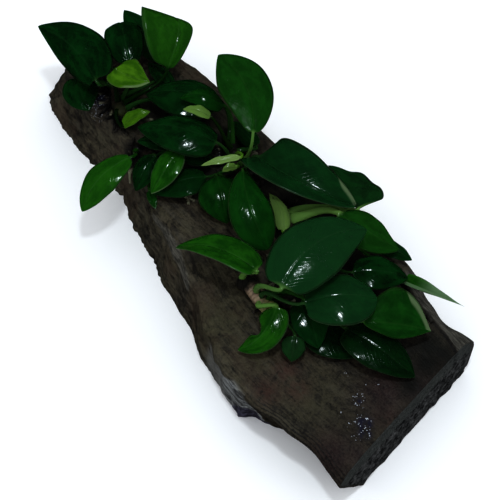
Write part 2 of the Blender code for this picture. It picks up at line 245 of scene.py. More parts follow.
# Single roots that show: the points each one passes over, and its radius
SHOWN_ROOTS = {
    "plant1": [([(-119, -3, 42), (-122, 3, 43), (-125, 9, 43)], 0.5),
               ([(-116, -7, 40), (-121, -4, 41), (-124, -5, 41)], 0.4)],
    "plant2": [([(-100, -16, 30), (-97, -18, 26), (-94, -20, 22), (-91.5, -22, 17)], 1.1)],
    "plant3": [([(-47, -10, 40), (-50, -4, 40), (-53, 2, 40)], 0.45),
               ([(-56, -9, 39), (-50, -9, 39), (-43, -6, 39)], 0.4),
               ([(-54, -3, 40), (-49, -7, 39), (-44, -12, 39)], 0.4)],
}
# The wood is painted darker toward the sawn end, as shade against the lamp's stronger light there
NEAR_FROM_X = 55.0
NEAR_BLEND = 80.0

# The rhizomes, as in the part: where each starts and ends, and its radius
RHIZOMES = {
    "plant1": ((-150, 8), (-120, -2), 4.2),
    "plant2": ((-98, -14), (-72, -4), 3.6),
    "plant3": ((-66, 36), (-22, 17), 4.4),
    "plant4": ((-6, 28), (22, 20), 3.8),
    "plant5": ((16, -23), (46, -19), 4.6),
}
# The one rhizome that is not painted in shade
UNSHADED_RHIZOME = "plant5"
RHIZOME_NODE_SWELL = 0.12
RHIZOME_BEND = 1.5
RHIZOME_FOOT = 4.0
FRAME_STEP = 0.05
TOUCH_GAP = 0.35
# Their finished mesh, finer than the part's: stations and sides, rounded ends, knobs and leaf scars
RHIZOME_STATIONS = 72
RHIZOME_SIDES = 26
SCAR_SPACING = 2.6
RHIZOME_SKIN = 1.04
RHIZOME_ROUNDING = 1.4
RHIZOME_TIP = 0.04
KNOB_HEIGHT = 0.13
KNOB_SIZE = 3.2
SCAR_DEPTH = 0.10
SCAR_WIDTH = 0.16
SCAR_WANDER = 0.35
SCAR_TWIST = 7.0

# Roots: how many leave each rhizome, how long and thick they are, how much they wander, and their sides
ROOT_KINDS = {
    "roots": {"count": 12, "lengths": (8, 20), "thickness": 0.48, "wander": 0.3, "sides": 8},
    "rootlets": {"count": 70, "lengths": (6, 16), "thickness": 0.26, "wander": 0.4, "sides": 5},
}
ROOT_WIDTHS = (0.7, 1.15)
ROOT_TAPER = 0.65
ROOT_STEP = 1.4
ROOT_LIFT = 0.6
# Which stretch of a rhizome they leave from, and on which side when not both
ROOT_SPAN = (0.02, 0.98)
ROOT_SPANS = {"plant5": (0.62, 0.98)}
ROOT_SIDES = {"plant5": 1.0}
# They start this far out and down, as shares of its radius, and head off along it and down by these shares
ROOT_OUT = 0.75
ROOT_DOWN = (0.1, 0.7)
ROOT_AHEAD = 0.9
ROOT_DIP = 0.6
# A creeping root sinks to the wood over its first steps, and turns up or down less than sideways
ROOT_LANDING = 3.0
ROOT_FLATNESS = 0.3
SHOWN_ROOT_STEPS = 6

# A leaf's blade and stalk, as in the part
PROFILE_RISE = 0.5
PROFILE_FALL = 0.8
LOBE_SWEEP = 0.05
LOBE_PEAK = 23.0
LOBE_FADE = 8
PETIOLE_RADIUS = 1.1
PETIOLE_TAPER = (1.15, 0.85)
STALK_PULL = (0.4, 0.35)
STALK_SPAN = (0.06, 0.94)
LEAN_PER_MM = 3.0
LEAN_LIMIT = 60.0
STALK_START = 0.7
BLADE_SPAN = (1e-5, 0.9999)
# Its finished mesh: rings along the stalk and the blade, points across each face, and thicknesses
STALK_RINGS = 22
BLADE_RINGS = 58
HALF_POINTS = 12
BLADE_HALF_THICKNESS = 0.32
RIB_DEPTH = (0.95, 0.25)
RIB_REACH = 0.95
GROOVE_DEPTH = 0.34
GROOVE_REACH = 0.6
STALK_TO_BLADE = 0.05
STALK_FLARE = 0.8
FLARE_POWER = 5
VEIN_PITCH = 3.1
VEIN_SWEEP = 0.32
VEIN_CURVE = 1.25
VEIN_WIDTH = 0.22
VEIN_HEIGHT = 0.02
# Points crowd toward the midrib by this power, and the last ring lies just short of the tip
CROWDING = 1.5
NEAR_TIP = 0.9985
# The narrowest a half blade gets, and the half width under which it gets thinner
NARROWEST_HALF = 0.05
THINNING_HALF = 2.5
# The margin's wave: how far it turns along a blade, how far the right half is ahead, and where it can start
WAVE_TURNS = 15.0
WAVE_SHIFT = 2.1
WAVE_STARTS = 6.0
# Over what share of the blade a pale rim and a pale half come in
RIM_BLEND = 0.12
PALE_BLEND = 0.40
# How far a stalk's points count as being from an edge or a rib
STALK_EDGE = 3.0
# What the leaves' finish reads at each point
LEAF_MARKS = ("across", "along", "edge", "rib", "under", "stalk", "rim_width", "pale")


def leaf(base, tip, width, tone="dark", lift=3.0, sway=0.0, roll=0.0, fold=(0, 0), curl=(-20, -20),
         rise=PROFILE_RISE, fall=PROFILE_FALL, halves=(1.0, 1.0), place=None, lean=None, wave=0.45,
         pale=0.0, stalk=0.10, pull=STALK_PULL[1], rims=(-1.0, -1.0), rim_from=(0.0, 0.0), sheen_and_shade=0.0,
         thick=1.0, pale_from=-1.0, notch=None):
    """One leaf, as in the part, with its looks: how far its margin waves, how pale its blade is, how pale its
    stalk is or, when that is negative, how much painted shade darkens it, how wide a pale rim its left and
    right half have and from where, how much painted sheen lies on its green or, when that is negative, how
    much painted shade, how thick its stalk is, from where its left half is pale, and a notch in one half: its
    place, depth, reach and hand."""
    return {"base": Vector(base), "tip": Vector(tip), "width": width, "tone": tone,
            "lift": lift, "sway": sway, "roll": math.radians(roll),
            "fold": [math.radians(a) for a in fold], "curl": [math.radians(a) for a in curl],
            "rise": rise, "fall": fall, "halves": halves, "place": place, "lean": lean, "pull": pull,
            "wave": wave, "pale": pale, "stalk": stalk, "rims": rims, "rim_from": rim_from,
            "sheen_and_shade": sheen_and_shade, "thick": thick, "pale_from": pale_from, "notch": notch}


LEAVES = {
    "plant1": [
        leaf((-139, -8, 65), (-198, -11, 66), 42, lift=4, sway=-4, fold=(-45, 4), curl=(-30, -25),
             rise=0.6, halves=(0.8, 1.0), place=0.2),
        leaf((-161, -8, 47), (-138, -17, 43), 24, lift=2, sway=-2, fold=(-8, 0), curl=(-10, -20),
             place=0.1),
        leaf((-142, 46, 42), (-190, 49, 46), 23, lift=2, place=0.55),
        leaf((-140, 18, 60), (-177, 37, 51), 26, lift=12, curl=(-25, -25), place=0.65),
        leaf((-122, 34, 58), (-158.5, 60, 52), 31, "bright", lift=20, roll=28, curl=(0, 0), rise=0.60,
             fall=0.60, halves=(1.66, 0.62), place=0.78, sheen_and_shade=0.12, stalk=-0.8),
        leaf((-129, 1, 78), (-107, 11, 78), 25, "lime", lift=1, sway=-2, curl=(0, 0), rise=0.4, fall=0.9,
             halves=(1.05, 0.85), place=0.7, lean=0, pull=0.12, rims=(-1.0, 2.4), rim_from=(0.0, 0.40),
             stalk=-0.95),
        leaf((-114, -8, 44), (-108, 9, 50), 11, "lime", lift=2, fold=(15, 15), curl=(0, 0), place=0.92,
             lean=-60, stalk=-0.95),
        leaf((-117, 33, 47), (-142, 33, 48), 12, lift=2, place=0.98),
    ],
    "plant2": [
        leaf((-67, 0, 60), (-60, -27, 48), 17, "bright", lift=3, sway=1, curl=(-20, -10), place=0.95,
             rims=(0.8, -1.0)),
        leaf((-78, -10, 52), (-71, -31, 42), 17, lift=4, curl=(-20, -30), place=0.45, lean=-70),
        leaf((-84, -23, 56), (-81, -64, 40), 23, "bright", lift=6, sway=-3, fold=(0, -10), place=0.1,
             lean=-60, stalk=-0.45, rise=0.75, fall=0.75),
        leaf((-66, -24, 41), (-54, -29, 40), 6, "mid", lift=1, curl=(0, 0), place=0.75, lean=-70),
        leaf((-76, 4, 54), (-93, -12, 53), 14, lift=3, place=0.7, lean=40),
    ],
    "plant3": [
        leaf((-87, 46, 52), (-120, 15, 51), 24, lift=6, curl=(-25, -25), halves=(1.55, 1.0)),
        leaf((-74, 42, 62), (-96, 24, 63), 18, "mid", lift=8, fold=(-10, -10), curl=(-40, -40)),
        leaf((-72, 29, 64), (-86, 19, 66), 8, "lime", lift=3, curl=(0, 0), pale=0.5, stalk=-0.9),
        leaf((-54, 20, 64), (-97, -8, 60), 32, lift=8, fold=(-5, -10), curl=(-25, -30)),
        leaf((-48, 6, 48), (-63, -24, 42), 22, lift=4, curl=(-20, -30)),
        leaf((-42, 9, 53), (-18, -3, 41), 29, "mid", lift=5, curl=(-30, -30), rise=0.6),
        leaf((-28, 18, 66), (17, -0.5, 54), 27, "mid", lift=8, sway=-4, curl=(-30, -30), rise=0.85,
             fall=0.55, place=0.97, lean=40, rims=(0.4, 0.2)),
        leaf((-56, 17, 47), (-73, 1, 47), 14, lift=3),
        leaf((-49, 46, 43), (-73, 46, 44), 13, lift=2),
        leaf((-39.5, 35.5, 75), (-93, 53, 84), 33, "mid", lift=3, sway=-7, fold=(5, 5), curl=(-10, -30),
             rise=0.95, stalk=0.5, sheen_and_shade=0.22),
        leaf((-32, 19, 74), (-43, -1, 72), 5.5, "lime", lift=1, fold=(10, 10), curl=(0, 0), place=0.4,
             lean=0, pale=0.8, pull=0.12),
        leaf((-38, 21, 56), (-40.5, 12.5, 56), 6.5, "lime", lift=1, fold=(20, 20), curl=(0, 0), place=0.55,
             pale=0.45, thick=1.2),
        leaf((-34, 35, 58), (28.5, 57.5, 55), 47, lift=8, sway=-4, roll=18, fold=(0, 62), rise=0.22,
             fall=0.62, halves=(0.93, 0.85), rims=(4.5, 0.5), rim_from=(0.73, 0.0), sheen_and_shade=0.28),
    ],
    "plant4": [
        leaf((30, 57.5, 53), (-8, 69, 46), 29, lift=3, sway=1, fold=(100, 0), curl=(0, -15), rise=0.22,
             fall=0.8, halves=(0.3, 1.45), wave=1.6, pale=0.07, stalk=0.9, pull=0.08, thick=1.5,
             rims=(5.0, -1.0)),
        leaf((13, 14.5, 54), (-13, 26, 51), 12.5, "lime", lift=3, sway=-2, curl=(-60, -60), pale=0.65),
        leaf((27, 45, 58), (64, 59, 50), 25, "mid", lift=6, sway=-4, stalk=1.0, sheen_and_shade=0.25, thick=2.0),
        leaf((49, 55, 43), (71, 64, 41), 12, lift=2),
        leaf((59, 26, 54), (80, 51, 47), 23, lift=5),
        leaf((79, 49, 45), (115, 59, 54), 10, "bright", lift=1, roll=20, curl=(0, 0), rise=0.3, fall=1.4,
             halves=(1.1, 0.4), pale=0.9, wave=0.9, pale_from=0.15),
    ],
    "plant5": [
        leaf((51, -21, 80), (52, 41, 76), 40, lift=8, sway=7, curl=(-30, -30), fall=0.7, place=0.5, lean=0,
             stalk=0.5, sheen_and_shade=0.5, thick=1.2, pull=0.10),
        leaf((29, -19, 66), (-19, -40, 52), 25, "bright", lift=6, sway=-4, fold=(35, 0), curl=(-10, -30),
             stalk=0.62, rims=(0.5, -1.0), thick=1.1, pull=0.12),
        leaf((87, 7, 60), (113, 36, 50), 30, "mid", lift=3, fold=(12, -25), curl=(0, -20), rise=1.1,
             fall=1.15, halves=(1.4, 0.55), place=0.82, lean=30, rims=(6.5, -1.0), rim_from=(0.55, 0.0),
             sheen_and_shade=0.1),
        leaf((61, -13, 68), (84, 20, 66), 29, lift=7, fall=0.5, halves=(1.0, 1.2), place=0.66, lean=10,
             rims=(0.3, 0.3), sheen_and_shade=0.42),
        leaf((55, -8, 56), (80, -18, 48), 22, lift=3, place=0.7, lean=60),
        leaf((81, 1, 50), (125, 13, 42), 26, lift=4, curl=(-10, -10), place=0.95, lean=60, sheen_and_shade=-0.5),
        leaf((65, -14, 44), (96, -1, 41), 22, lift=2, curl=(-10, -10), place=1.0, lean=-10, sheen_and_shade=-0.3),
        leaf((67, -24, 51), (75, -33, 43), 14, lift=2, place=0.95, lean=-60, pale=0.15),
        leaf((49, -22, 58), (50, -51, 42), 25, "bright", lift=4, sway=6, fold=(-10, -20), curl=(-20, -30),
             rise=0.42, halves=(0.82, 1.15), place=0.75, lean=-60, stalk=0.7, rims=(0.4, -1.0), thick=1.2,
             pull=0.10, notch=(0.53, 0.82, 0.20, 1)),
    ],
}

# Leaf colours: the deep and the light green of the face, the pale green in which the veins show, and the
# green of a painted sheen
LEAF_TONES = {
    "dark": {"deep": (0.0023, 0.0180, 0.0048), "light": (0.0052, 0.0420, 0.0090),
             "pale": (0.060, 0.110, 0.050), "sheen_and_shade": (0.0160, 0.0620, 0.0230)},
    "mid": {"deep": (0.0037, 0.0310, 0.0045), "light": (0.0085, 0.0600, 0.0080),
            "pale": (0.070, 0.130, 0.040), "sheen_and_shade": (0.0250, 0.0950, 0.0130)},
    "bright": {"deep": (0.0085, 0.0520, 0.0046), "light": (0.0200, 0.0980, 0.0082),
               "pale": (0.110, 0.180, 0.095), "sheen_and_shade": (0.0500, 0.1350, 0.0160)},
    "lime": {"deep": (0.0300, 0.0900, 0.0050), "light": (0.0720, 0.1700, 0.0110),
             "pale": (0.170, 0.250, 0.090), "sheen_and_shade": (0.1000, 0.1900, 0.0200)},
}
STALK_GREEN = (0.150, 0.270, 0.075)
SHADED_GREEN = (0.0028, 0.0100, 0.0036)
RIM_GREEN = (0.135, 0.180, 0.100)

# Wood colours that a pattern mixes, each dark and light
WOOD_TONES = {
    "weathered": ((0.0160, 0.0135, 0.0090), (0.0870, 0.0735, 0.0455)),
    "worn": ((0.0365, 0.0345, 0.0285), (0.1250, 0.1180, 0.0970)),
    "sawn": ((0.0180, 0.0182, 0.0180), (0.0980, 0.0990, 0.0970)),
    "smooth": ((0.0390, 0.0420, 0.0390), (0.0800, 0.0860, 0.0800)),
    "split": ((0.0450, 0.0450, 0.0450), (0.2180, 0.2250, 0.2220)),
    "lump": ((0.0150, 0.0140, 0.0200), (0.0900, 0.0860, 0.1300)),
}
# Wood colours that are laid over it
WOOD_TINTS = {
    "pale streak": (0.1010, 0.0925, 0.0690),
    "dark streak": (0.0170, 0.0140, 0.0115),
    "pale blotch": (0.0920, 0.0835, 0.0515),
    "dark blotch": (0.0170, 0.0135, 0.0125),
    "brown patch": (0.0700, 0.0470, 0.0300),
    "dull patch": (0.0320, 0.0310, 0.0260),
    "olive": (0.0720, 0.0700, 0.0350),
    "red": (0.0760, 0.0360, 0.0270),
    "near end shade": (0.0160, 0.0125, 0.0085),
    "plum": (0.0250, 0.0115, 0.0155),
    "layer gap shade": (0.0090, 0.0080, 0.0085),
    "pale grit": (0.1050, 0.0950, 0.0720),
    "dark grit": (0.0070, 0.0065, 0.0065),
    "shade": (0.0100, 0.0105, 0.0085),
    "wet_and_crack_shade": (0.0085, 0.0080, 0.0110),
    "blue_reflection": (0.0090, 0.0100, 0.0330),
    "drop": (0.6500, 0.7000, 0.7800),
}
# Rhizome and root colours: dark, light, at the growing end, and at the old end where that isn't just dark.
# The shaded rhizome's colours are a darker copy: painted shade on the rhizomes that lie under the leaves
STEM_TONES = {
    "rhizome": ((0.080, 0.055, 0.038), (0.300, 0.220, 0.150), (0.300, 0.330, 0.110), (0.022, 0.019, 0.014)),
    "shaded_rhizome": ((0.010, 0.008, 0.006), (0.048, 0.034, 0.022), (0.040, 0.050, 0.016)),
    "root": ((0.007, 0.006, 0.005), (0.038, 0.030, 0.020), (0.170, 0.168, 0.112)),
    "rootlet": ((0.004, 0.004, 0.004), (0.018, 0.015, 0.012), (0.040, 0.034, 0.026)),
}

# The studio: its floor in millimetres, its sky, and its one lamp in metres
FLOOR_HALF = 3000.0
FLOOR_DROP = 0.3
FLOOR_TONES = ((0.93, 0.93, 0.93), (0.95, 0.95, 0.95))
SKY_COLOUR = (0.93, 0.96, 1.0, 1.0)
SKY_STRENGTH = 0.75
LAMP_PLACE = Vector((0.10, -0.04, 0.90))
LAMP_AIM = Vector((0.0, 0.0, 0.04))
LAMP_SIZE = 0.07
LAMP_POWER = 1.5
LAMP_COLOUR = (0.86, 0.94, 1.0)


# Numbers and curves

def ease(t):
    t = min(max(t, 0.0), 1.0)
    return t * t * (3.0 - 2.0 * t)


def bezier(points, t):
    a, b, c, d = points
    u = 1.0 - t
    return a * u ** 3 + b * (3 * t * u * u) + c * (3 * t * t * u) + d * t ** 3


def bezier_direction(points, t):
    a, b, c, d = points
    u = 1.0 - t
    return ((b - a) * (u * u) + (c - b) * (2 * t * u) + (d - c) * (t * t)).normalized()


def noise_at(x, y, z):
    return noise.noise(Vector((x, y, z)))


def distance_to_line(x, y, line):
    """How far a place on the slab's top is from a line of points, in plan."""
    best = 1e9
    for (x0, y0), (x1, y1) in zip(line, line[1:]):
        along = ((x - x0) * (x1 - x0) + (y - y0) * (y1 - y0)) / ((x1 - x0) ** 2 + (y1 - y0) ** 2)
        along = min(max(along, 0.0), 1.0)
        best = min(best, math.hypot(x - x0 - along * (x1 - x0), y - y0 - along * (y1 - y0)))
    return best


# Meshes

def grid_faces(rows, columns, closed=True):
    """Faces between rows of points, each row a loop when closed."""
    faces = []
    last = columns if closed else columns - 1
    for i in range(rows - 1):
        for j in range(last):
            k = (j + 1) % columns
            faces.append((i * columns + j, i * columns + k, (i + 1) * columns + k, (i + 1) * columns + j))
    return faces


def mesh_object(name, points, faces, finish, marks=None):
    """A smooth mesh from points in millimetres, with its finish and its named numbers at each point."""
    mesh = bpy.data.meshes.new(name)
    mesh.from_pydata([tuple(c * MM for c in p) for p in points], [], faces)
    for mark, values in (marks or {}).items():
        values = np.asarray(values, np.float32)
        kind = "FLOAT_VECTOR" if values.ndim == 2 else "FLOAT"
        field = "vector" if values.ndim == 2 else "value"
        mesh.attributes.new(mark, kind, "POINT").data.foreach_set(field, values.ravel())
    mesh.materials.append(finish)
    mesh.shade_smooth()
    mesh.validate()
    thing = bpy.data.objects.new(name, mesh)
    bpy.context.collection.objects.link(thing)
    return thing


# Materials

class Number:
    """A number in a material: arithmetic on it adds Math nodes."""

    def __init__(self, finish, socket):
        self.finish = finish
        self.socket = socket

    def __add__(self, other):
        return self.finish.math("ADD", self, other)

    def __sub__(self, other):
        return self.finish.math("SUBTRACT", self, other)

    def __rsub__(self, other):
        return self.finish.math("SUBTRACT", other, self)

    def __mul__(self, other):
        return self.finish.math("MULTIPLY", self, other)

    def __pow__(self, other):
        return self.finish.math("POWER", self, other)

    __radd__ = __add__
    __rmul__ = __mul__


class Finish:
    """One material, with the Principled sockets that are the same all over it."""

    def __init__(self, name, fixed):
        self.material = bpy.data.materials.new(name)
        self.material.use_nodes = True
        self.tree = self.material.node_tree
        self.shader = self.tree.nodes["Principled BSDF"]
        for socket, value in fixed.items():
            self.shader.inputs[socket].default_value = value

    def put(self, socket, value):
        if isinstance(value, Number):
            self.tree.links.new(value.socket, socket)
        else:
            socket.default_value = value

    def node(self, kind, settings, inputs, output=0):
        """Adds a node: its settings first, then its sockets' values or links; returns one output."""
        made = self.tree.nodes.new("ShaderNode" + kind)
        for setting, value in settings.items():
            setattr(made, setting, value)
        for socket, value in inputs.items():
            self.put(made.inputs[socket], value)
        return Number(self, made.outputs[output])

    def math(self, operation, first, second=0.0):
        return self.node("Math", {"operation": operation}, {0: first, 1: second})

    def mark(self, name, output="Fac"):
        return self.node("Attribute", {"attribute_name": name}, {}, output)

    def object_place(self):
        return self.node("TexCoord", {}, {}, "Object")

    def vector(self, x, y, z):
        return self.node("CombineXYZ", {}, {0: x, 1: y, 2: z})

    def stretched(self, place, scale):
        """The place with each axis multiplied."""
        return self.node("VectorMath", {"operation": "MULTIPLY"}, {0: place, 1: scale})

    def noise(self, place, scale, detail=3.0, roughness=0.55, distortion=0.0):
        inputs = {"Vector": place, "Scale": scale, "Detail": detail, "Roughness": roughness}
        inputs["Distortion"] = distortion
        return self.node("TexNoise", {}, inputs, "Fac")

    def cells(self, place, scale):
        return self.node("TexVoronoi", {}, {"Vector": place, "Scale": scale}, "Distance")

    def step(self, value, low, high):
        """0 below low and 1 above high, or the other way round, with a soft change between."""
        inputs = {"Value": value, "From Min": low, "From Max": high}
        return self.node("MapRange", {"interpolation_type": "SMOOTHSTEP"}, inputs)

    def between(self, share, first, second):
        """A colour between two others."""
        inputs = {0: share, 6: colour(first), 7: colour(second)}
        return self.node("Mix", {"data_type": "RGBA"}, inputs, 2)

    def coats(self, base, *coats):
        """A colour with others laid over it in turn, each by its share."""
        for share, tone in coats:
            base = self.between(share, base, tone)
        return base

    def bump(self, height, distance, strength=1.0):
        inputs = {"Height": height, "Distance": distance, "Strength": strength}
        return self.node("Bump", {}, inputs)

    def paint(self, **sockets):
        """Feeds the Principled sockets that change over the surface."""
        for name, value in sockets.items():
            self.put(self.shader.inputs[name.replace("_", " ").title()], value)
        return self.material


def colour(value):
    return value if isinstance(value, Number) else (*value, 1.0)


def leaf_finish(tone):
    """Leathery, wet leaf: a green that drifts along it, faint sunk veins, a pale thin edge, paler below."""
    shades = LEAF_TONES[tone]
    made = Finish("leaf_" + tone, {"Specular IOR Level": 0.34})
    place = made.object_place()
    side = made.mark("across")
    across = made.math("ABSOLUTE", side)
    along, length, under, own = (made.mark(name) for name in ("along", "length", "under", "own"))
    edge, rim_width = made.mark("edge"), made.mark("rim_width")
    sheen_and_shade, stalk = made.mark("sheen_and_shade"), made.mark("stalk")
    flow = made.vector(along * length * 0.05, side * 1.3, own * 40.0)
    drift = made.noise(flow, 1.6, 4.0, 0.6, 0.3)
    mottle = made.noise(place, 420.0, 3.0, 0.6)
    phase = (along - across ** VEIN_CURVE * VEIN_SWEEP) * length * (1.0 / VEIN_PITCH) + drift * 0.5
    vein = made.step(made.math("PINGPONG", phase, 0.5), 0.11, 0.0) * made.step(across, 1.0, 0.75)
    midrib = made.step(made.mark("rib"), 0.7, 0.15) * made.step(along, 1.0, 0.72)
    margin = made.step(edge, 0.50, 0.10)
    rim = made.step(edge - rim_width, 0.4, rim_width * -0.35 - 0.5)
    green = made.coats(
        made.between(made.step(drift + mottle * 0.25, 0.45, 0.82), shades["deep"], shades["light"]),
        (made.step(own, 0.4, 1.0) * 0.35, shades["light"]),
        (made.step(edge, 3.5, 0.5) * 0.16, shades["light"]),
        # Painted sheen of the sky on some leaves' green, and painted shade on others'
        (sheen_and_shade, shades["sheen_and_shade"]),
        (sheen_and_shade * -1.0, SHADED_GREEN),
        (vein * 0.03, shades["pale"]),
        (midrib * 0.07, shades["pale"]),
        (margin * 0.30, shades["pale"]),
        (made.mark("pale"), shades["pale"]),
        (rim * 0.70 * (1.0 - under), RIM_GREEN),
        (stalk, STALK_GREEN),
        # A negative stalk value paints shade on a stalk that lies under the leaves
        (stalk * -1.0, SHADED_GREEN),
        (under * 0.40, shades["pale"]),
    )
    damp = made.noise(place, 62.0, 2.0)
    beads = made.step(made.cells(place, 800.0), 0.32, 0.05) * made.step(damp, 0.54, 0.62)
    ripple = made.noise(place, 110.0, 2.0) * 1.5 + made.noise(place, 330.0, 2.0, 0.5) * 0.45
    height = vein * -0.10 + mottle * 0.06 + beads * 0.8 + ripple
    return made.paint(base_color=green, roughness=0.13 + under * 0.35 + mottle * 0.04,
                      normal=made.bump(height, 0.00025, 0.9))


def wood_finish():
    """Wet, weathered wood: mottled and gritty, with coloured patches, grey worn bands and a sawn end. Shade
    under the leaves, in the crack and toward the sawn end, a bluish reflection and the drops' glints are
    painted into it.
    """
    made = Finish("driftwood", {"Specular IOR Level": 0.30})
    place = made.object_place()
    grain = made.mark("grain", "Vector")
    worn, sawn, wet_and_crack_shade, drops = (made.mark(name) for name in ("worn", "sawn", "wet_and_crack_shade", "drops"))
    fibre = made.noise(made.stretched(grain, (0.10, 0.75, 0.75)), 1.0, 5.0, 0.65, 0.3)
    streaks = made.noise(made.stretched(grain, (0.014, 0.17, 0.17)), 1.0, 5.0, 0.6, 0.6)
    blotches = made.noise(made.stretched(grain, (0.035, 0.110, 0.110)), 1.0, 4.0, 0.62, 0.7)
    mottle = made.noise(place, 210.0, 5.0, 0.74, 0.5)
    grit = made.noise(place, 800.0, 3.0, 0.75)
    patches = made.noise(place, 26.0, 5.0, 0.65, 0.4)
    end_grain = made.noise(place, 260.0, 5.0, 0.72)
    layers = made.math("PINGPONG", made.mark("rim") * 0.55 + fibre * 1.3, 0.5)
    weathered = made.between(made.step(mottle * 0.62 + fibre * 0.38, 0.37, 0.63), *WOOD_TONES["weathered"])
    grey = made.between(made.step(fibre, 0.36, 0.64), *WOOD_TONES["worn"])
    cut = made.between(made.step(end_grain, 0.36, 0.66), *WOOD_TONES["sawn"])
    smooth = made.between(made.step(fibre + end_grain * 0.5, 0.45, 1.0), *WOOD_TONES["smooth"])
    cut = made.between(made.step(made.mark("strip") + end_grain * 0.5, 0.60, 0.85), cut, smooth)
    split = made.between(made.step(streaks * 0.5 + fibre * 0.5, 0.42, 0.52), *WOOD_TONES["split"])
    lump = made.between(made.step(mottle, 0.36, 0.66), *WOOD_TONES["lump"])
    # Beaded drops: their pale colour is a painted glint, and they also stand out in the bump
    crowd = made.step(drops + mottle * 0.9, 0.78, 1.20)
    spots = made.step(made.cells(place, 760.0), 0.08 + crowd * 0.26, 0.04) * crowd
    spots = spots + made.step(made.cells(place, 360.0), 0.06 + crowd * 0.14, 0.04) * crowd
    wood = made.coats(
        weathered,
        (made.step(streaks, 0.50, 0.70) * 0.50, WOOD_TINTS["pale streak"]),
        (made.step(streaks, 0.48, 0.34) * 0.45, WOOD_TINTS["dark streak"]),
        (made.step(blotches, 0.52, 0.66) * 0.50, WOOD_TINTS["pale blotch"]),
        (made.step(blotches, 0.47, 0.33) * 0.60, WOOD_TINTS["dark blotch"]),
        (made.step(patches, 0.50, 0.62) * 0.50, WOOD_TINTS["brown patch"]),
        (made.step(patches, 0.46, 0.30) * 0.45, WOOD_TINTS["dull patch"]),
        (made.mark("olive") * made.step(mottle, 0.30, 0.60) * 0.60, WOOD_TINTS["olive"]),
        (made.mark("red") * made.step(mottle, 0.30, 0.56) * 0.80, WOOD_TINTS["red"]),
        # Painted shade toward the sawn end, where the lamp's light is stronger
        (made.mark("near") * (0.36 + made.step(patches, 0.38, 0.60) * 0.34), WOOD_TINTS["near end shade"]),
        (made.mark("plum") * 0.55, WOOD_TINTS["plum"]),
        # Painted shade in the gaps between the broken layers
        (made.mark("layered") * made.step(layers, 0.30, 0.05) * 0.75, WOOD_TINTS["layer gap shade"]),
        (sawn, cut),
        (made.step(worn + fibre * 0.30 - 0.15, 0.30, 0.80) * (1.0 - sawn), grey),
        (made.mark("facet"), split),
        (made.mark("lump"), lump),
        (made.step(grit, 0.40, 0.62) * 0.14 * (1.0 - sawn), WOOD_TINTS["pale grit"]),
        (made.step(grit, 0.52, 0.36) * (0.16 + sawn * 0.14), WOOD_TINTS["dark grit"]),
        (made.mark("shade") * (1.0 - sawn) * 0.88, WOOD_TINTS["shade"]),
        # Painted shade in the lip's crack and on its dark line, and dark wet wood round the rhizomes
        (wet_and_crack_shade * 0.85, WOOD_TINTS["wet_and_crack_shade"]),
        # A painted bluish reflection on the wet film
        (made.mark("blue_reflection") * made.step(mottle, 0.36, 0.60) * 0.90, WOOD_TINTS["blue_reflection"]),
        (spots * 0.9, WOOD_TINTS["drop"]),
    )
    wet = made.step(made.noise(place, 30.0, 3.0), 0.38, 0.60)
    height = fibre * 0.9 + mottle * 1.8 + grit * 0.35 + spots * 0.8 + end_grain * sawn
    return made.paint(base_color=wood, roughness=0.66 - wet * 0.12 - spots * 0.4 - wet_and_crack_shade * 0.10,
                      normal=made.bump(height, 0.0005, 0.9))


def stem_finish(name, dark, light, tip, old=None):
    """Rhizome or root: ringed, fibrous and wet, greener toward its growing end and darker at its old one."""
    made = Finish(name, {"Specular IOR Level": 0.4, "Coat Roughness": 0.1})
    place = made.object_place()
    growth = made.mark("along")
    drift = made.noise(place, 160.0, 4.0)
    fine = made.noise(place, 900.0, 3.0, 0.65)
    tan = made.coats(
        made.between(made.step(drift + fine * 0.3, 0.40, 0.85), dark, light),
        (made.mark("ring") * 0.6, dark),
        (made.step(growth + drift * 0.3, 0.75, 1.15), tip),
        (made.step(growth + drift * 0.2, 0.56, 0.36), old or dark),
    )
    return made.paint(base_color=tan, roughness=0.40 + fine * 0.2, coat_weight=0.35 + drift * 0.3,
                      normal=made.bump(fine + drift * 2.0, 0.0003, 0.8))


# The slab of driftwood

def outline_at(x):
    """Left foot, left rim, right rim and right foot of the slab at one place along it."""
    for near, far in zip(SLAB_OUTLINE, SLAB_OUTLINE[1:]):
        if x <= far[0]:
            t = ease((x - near[0]) / (far[0] - near[0]))
            return [a + (b - a) * t for a, b in zip(near[1:], far[1:])]
    return list(SLAB_OUTLINE[-1][1:])


def wood_noise(x, y, z, size):
    return noise_at(x / (size * GRAIN_STRETCH), y / size, z / size)


def top_height(x, y):
    """Height of the slab's top: gently uneven, with a lip on the right and a dipping left corner."""
    left_foot, left_rim, right_rim, right_foot = outline_at(x)
    height = SLAB_TOP + TOP_RELIEF * wood_noise(x, y, 0.0, TOP_GRAIN)
    lip = ease((y - (right_rim - LIP_WIDTH)) / LIP_WIDTH) * ease((x - LIP_START_X) / LIP_BLEND)
    corner = ease(((left_rim + CORNER_WIDTH) - y) / CORNER_WIDTH) * ease((x - CORNER_START_X) / CORNER_BLEND)
    return height - lip * LIP_DROP - corner * CORNER_DROP


def end_shift(x, y, z):
    """How far a point moves along X, so that the sawn face is one plane and the far end slopes."""
    sawn = ease(1.0 - (SLAB_SAWN_X - x) / SAWN_BLEND)
    far = ease(1.0 - (x - SLAB_FAR_X) / FAR_BLEND)
    return sawn * (SAWN_SKEW * y + SAWN_LEAN * z) + far * FAR_LEAN * z


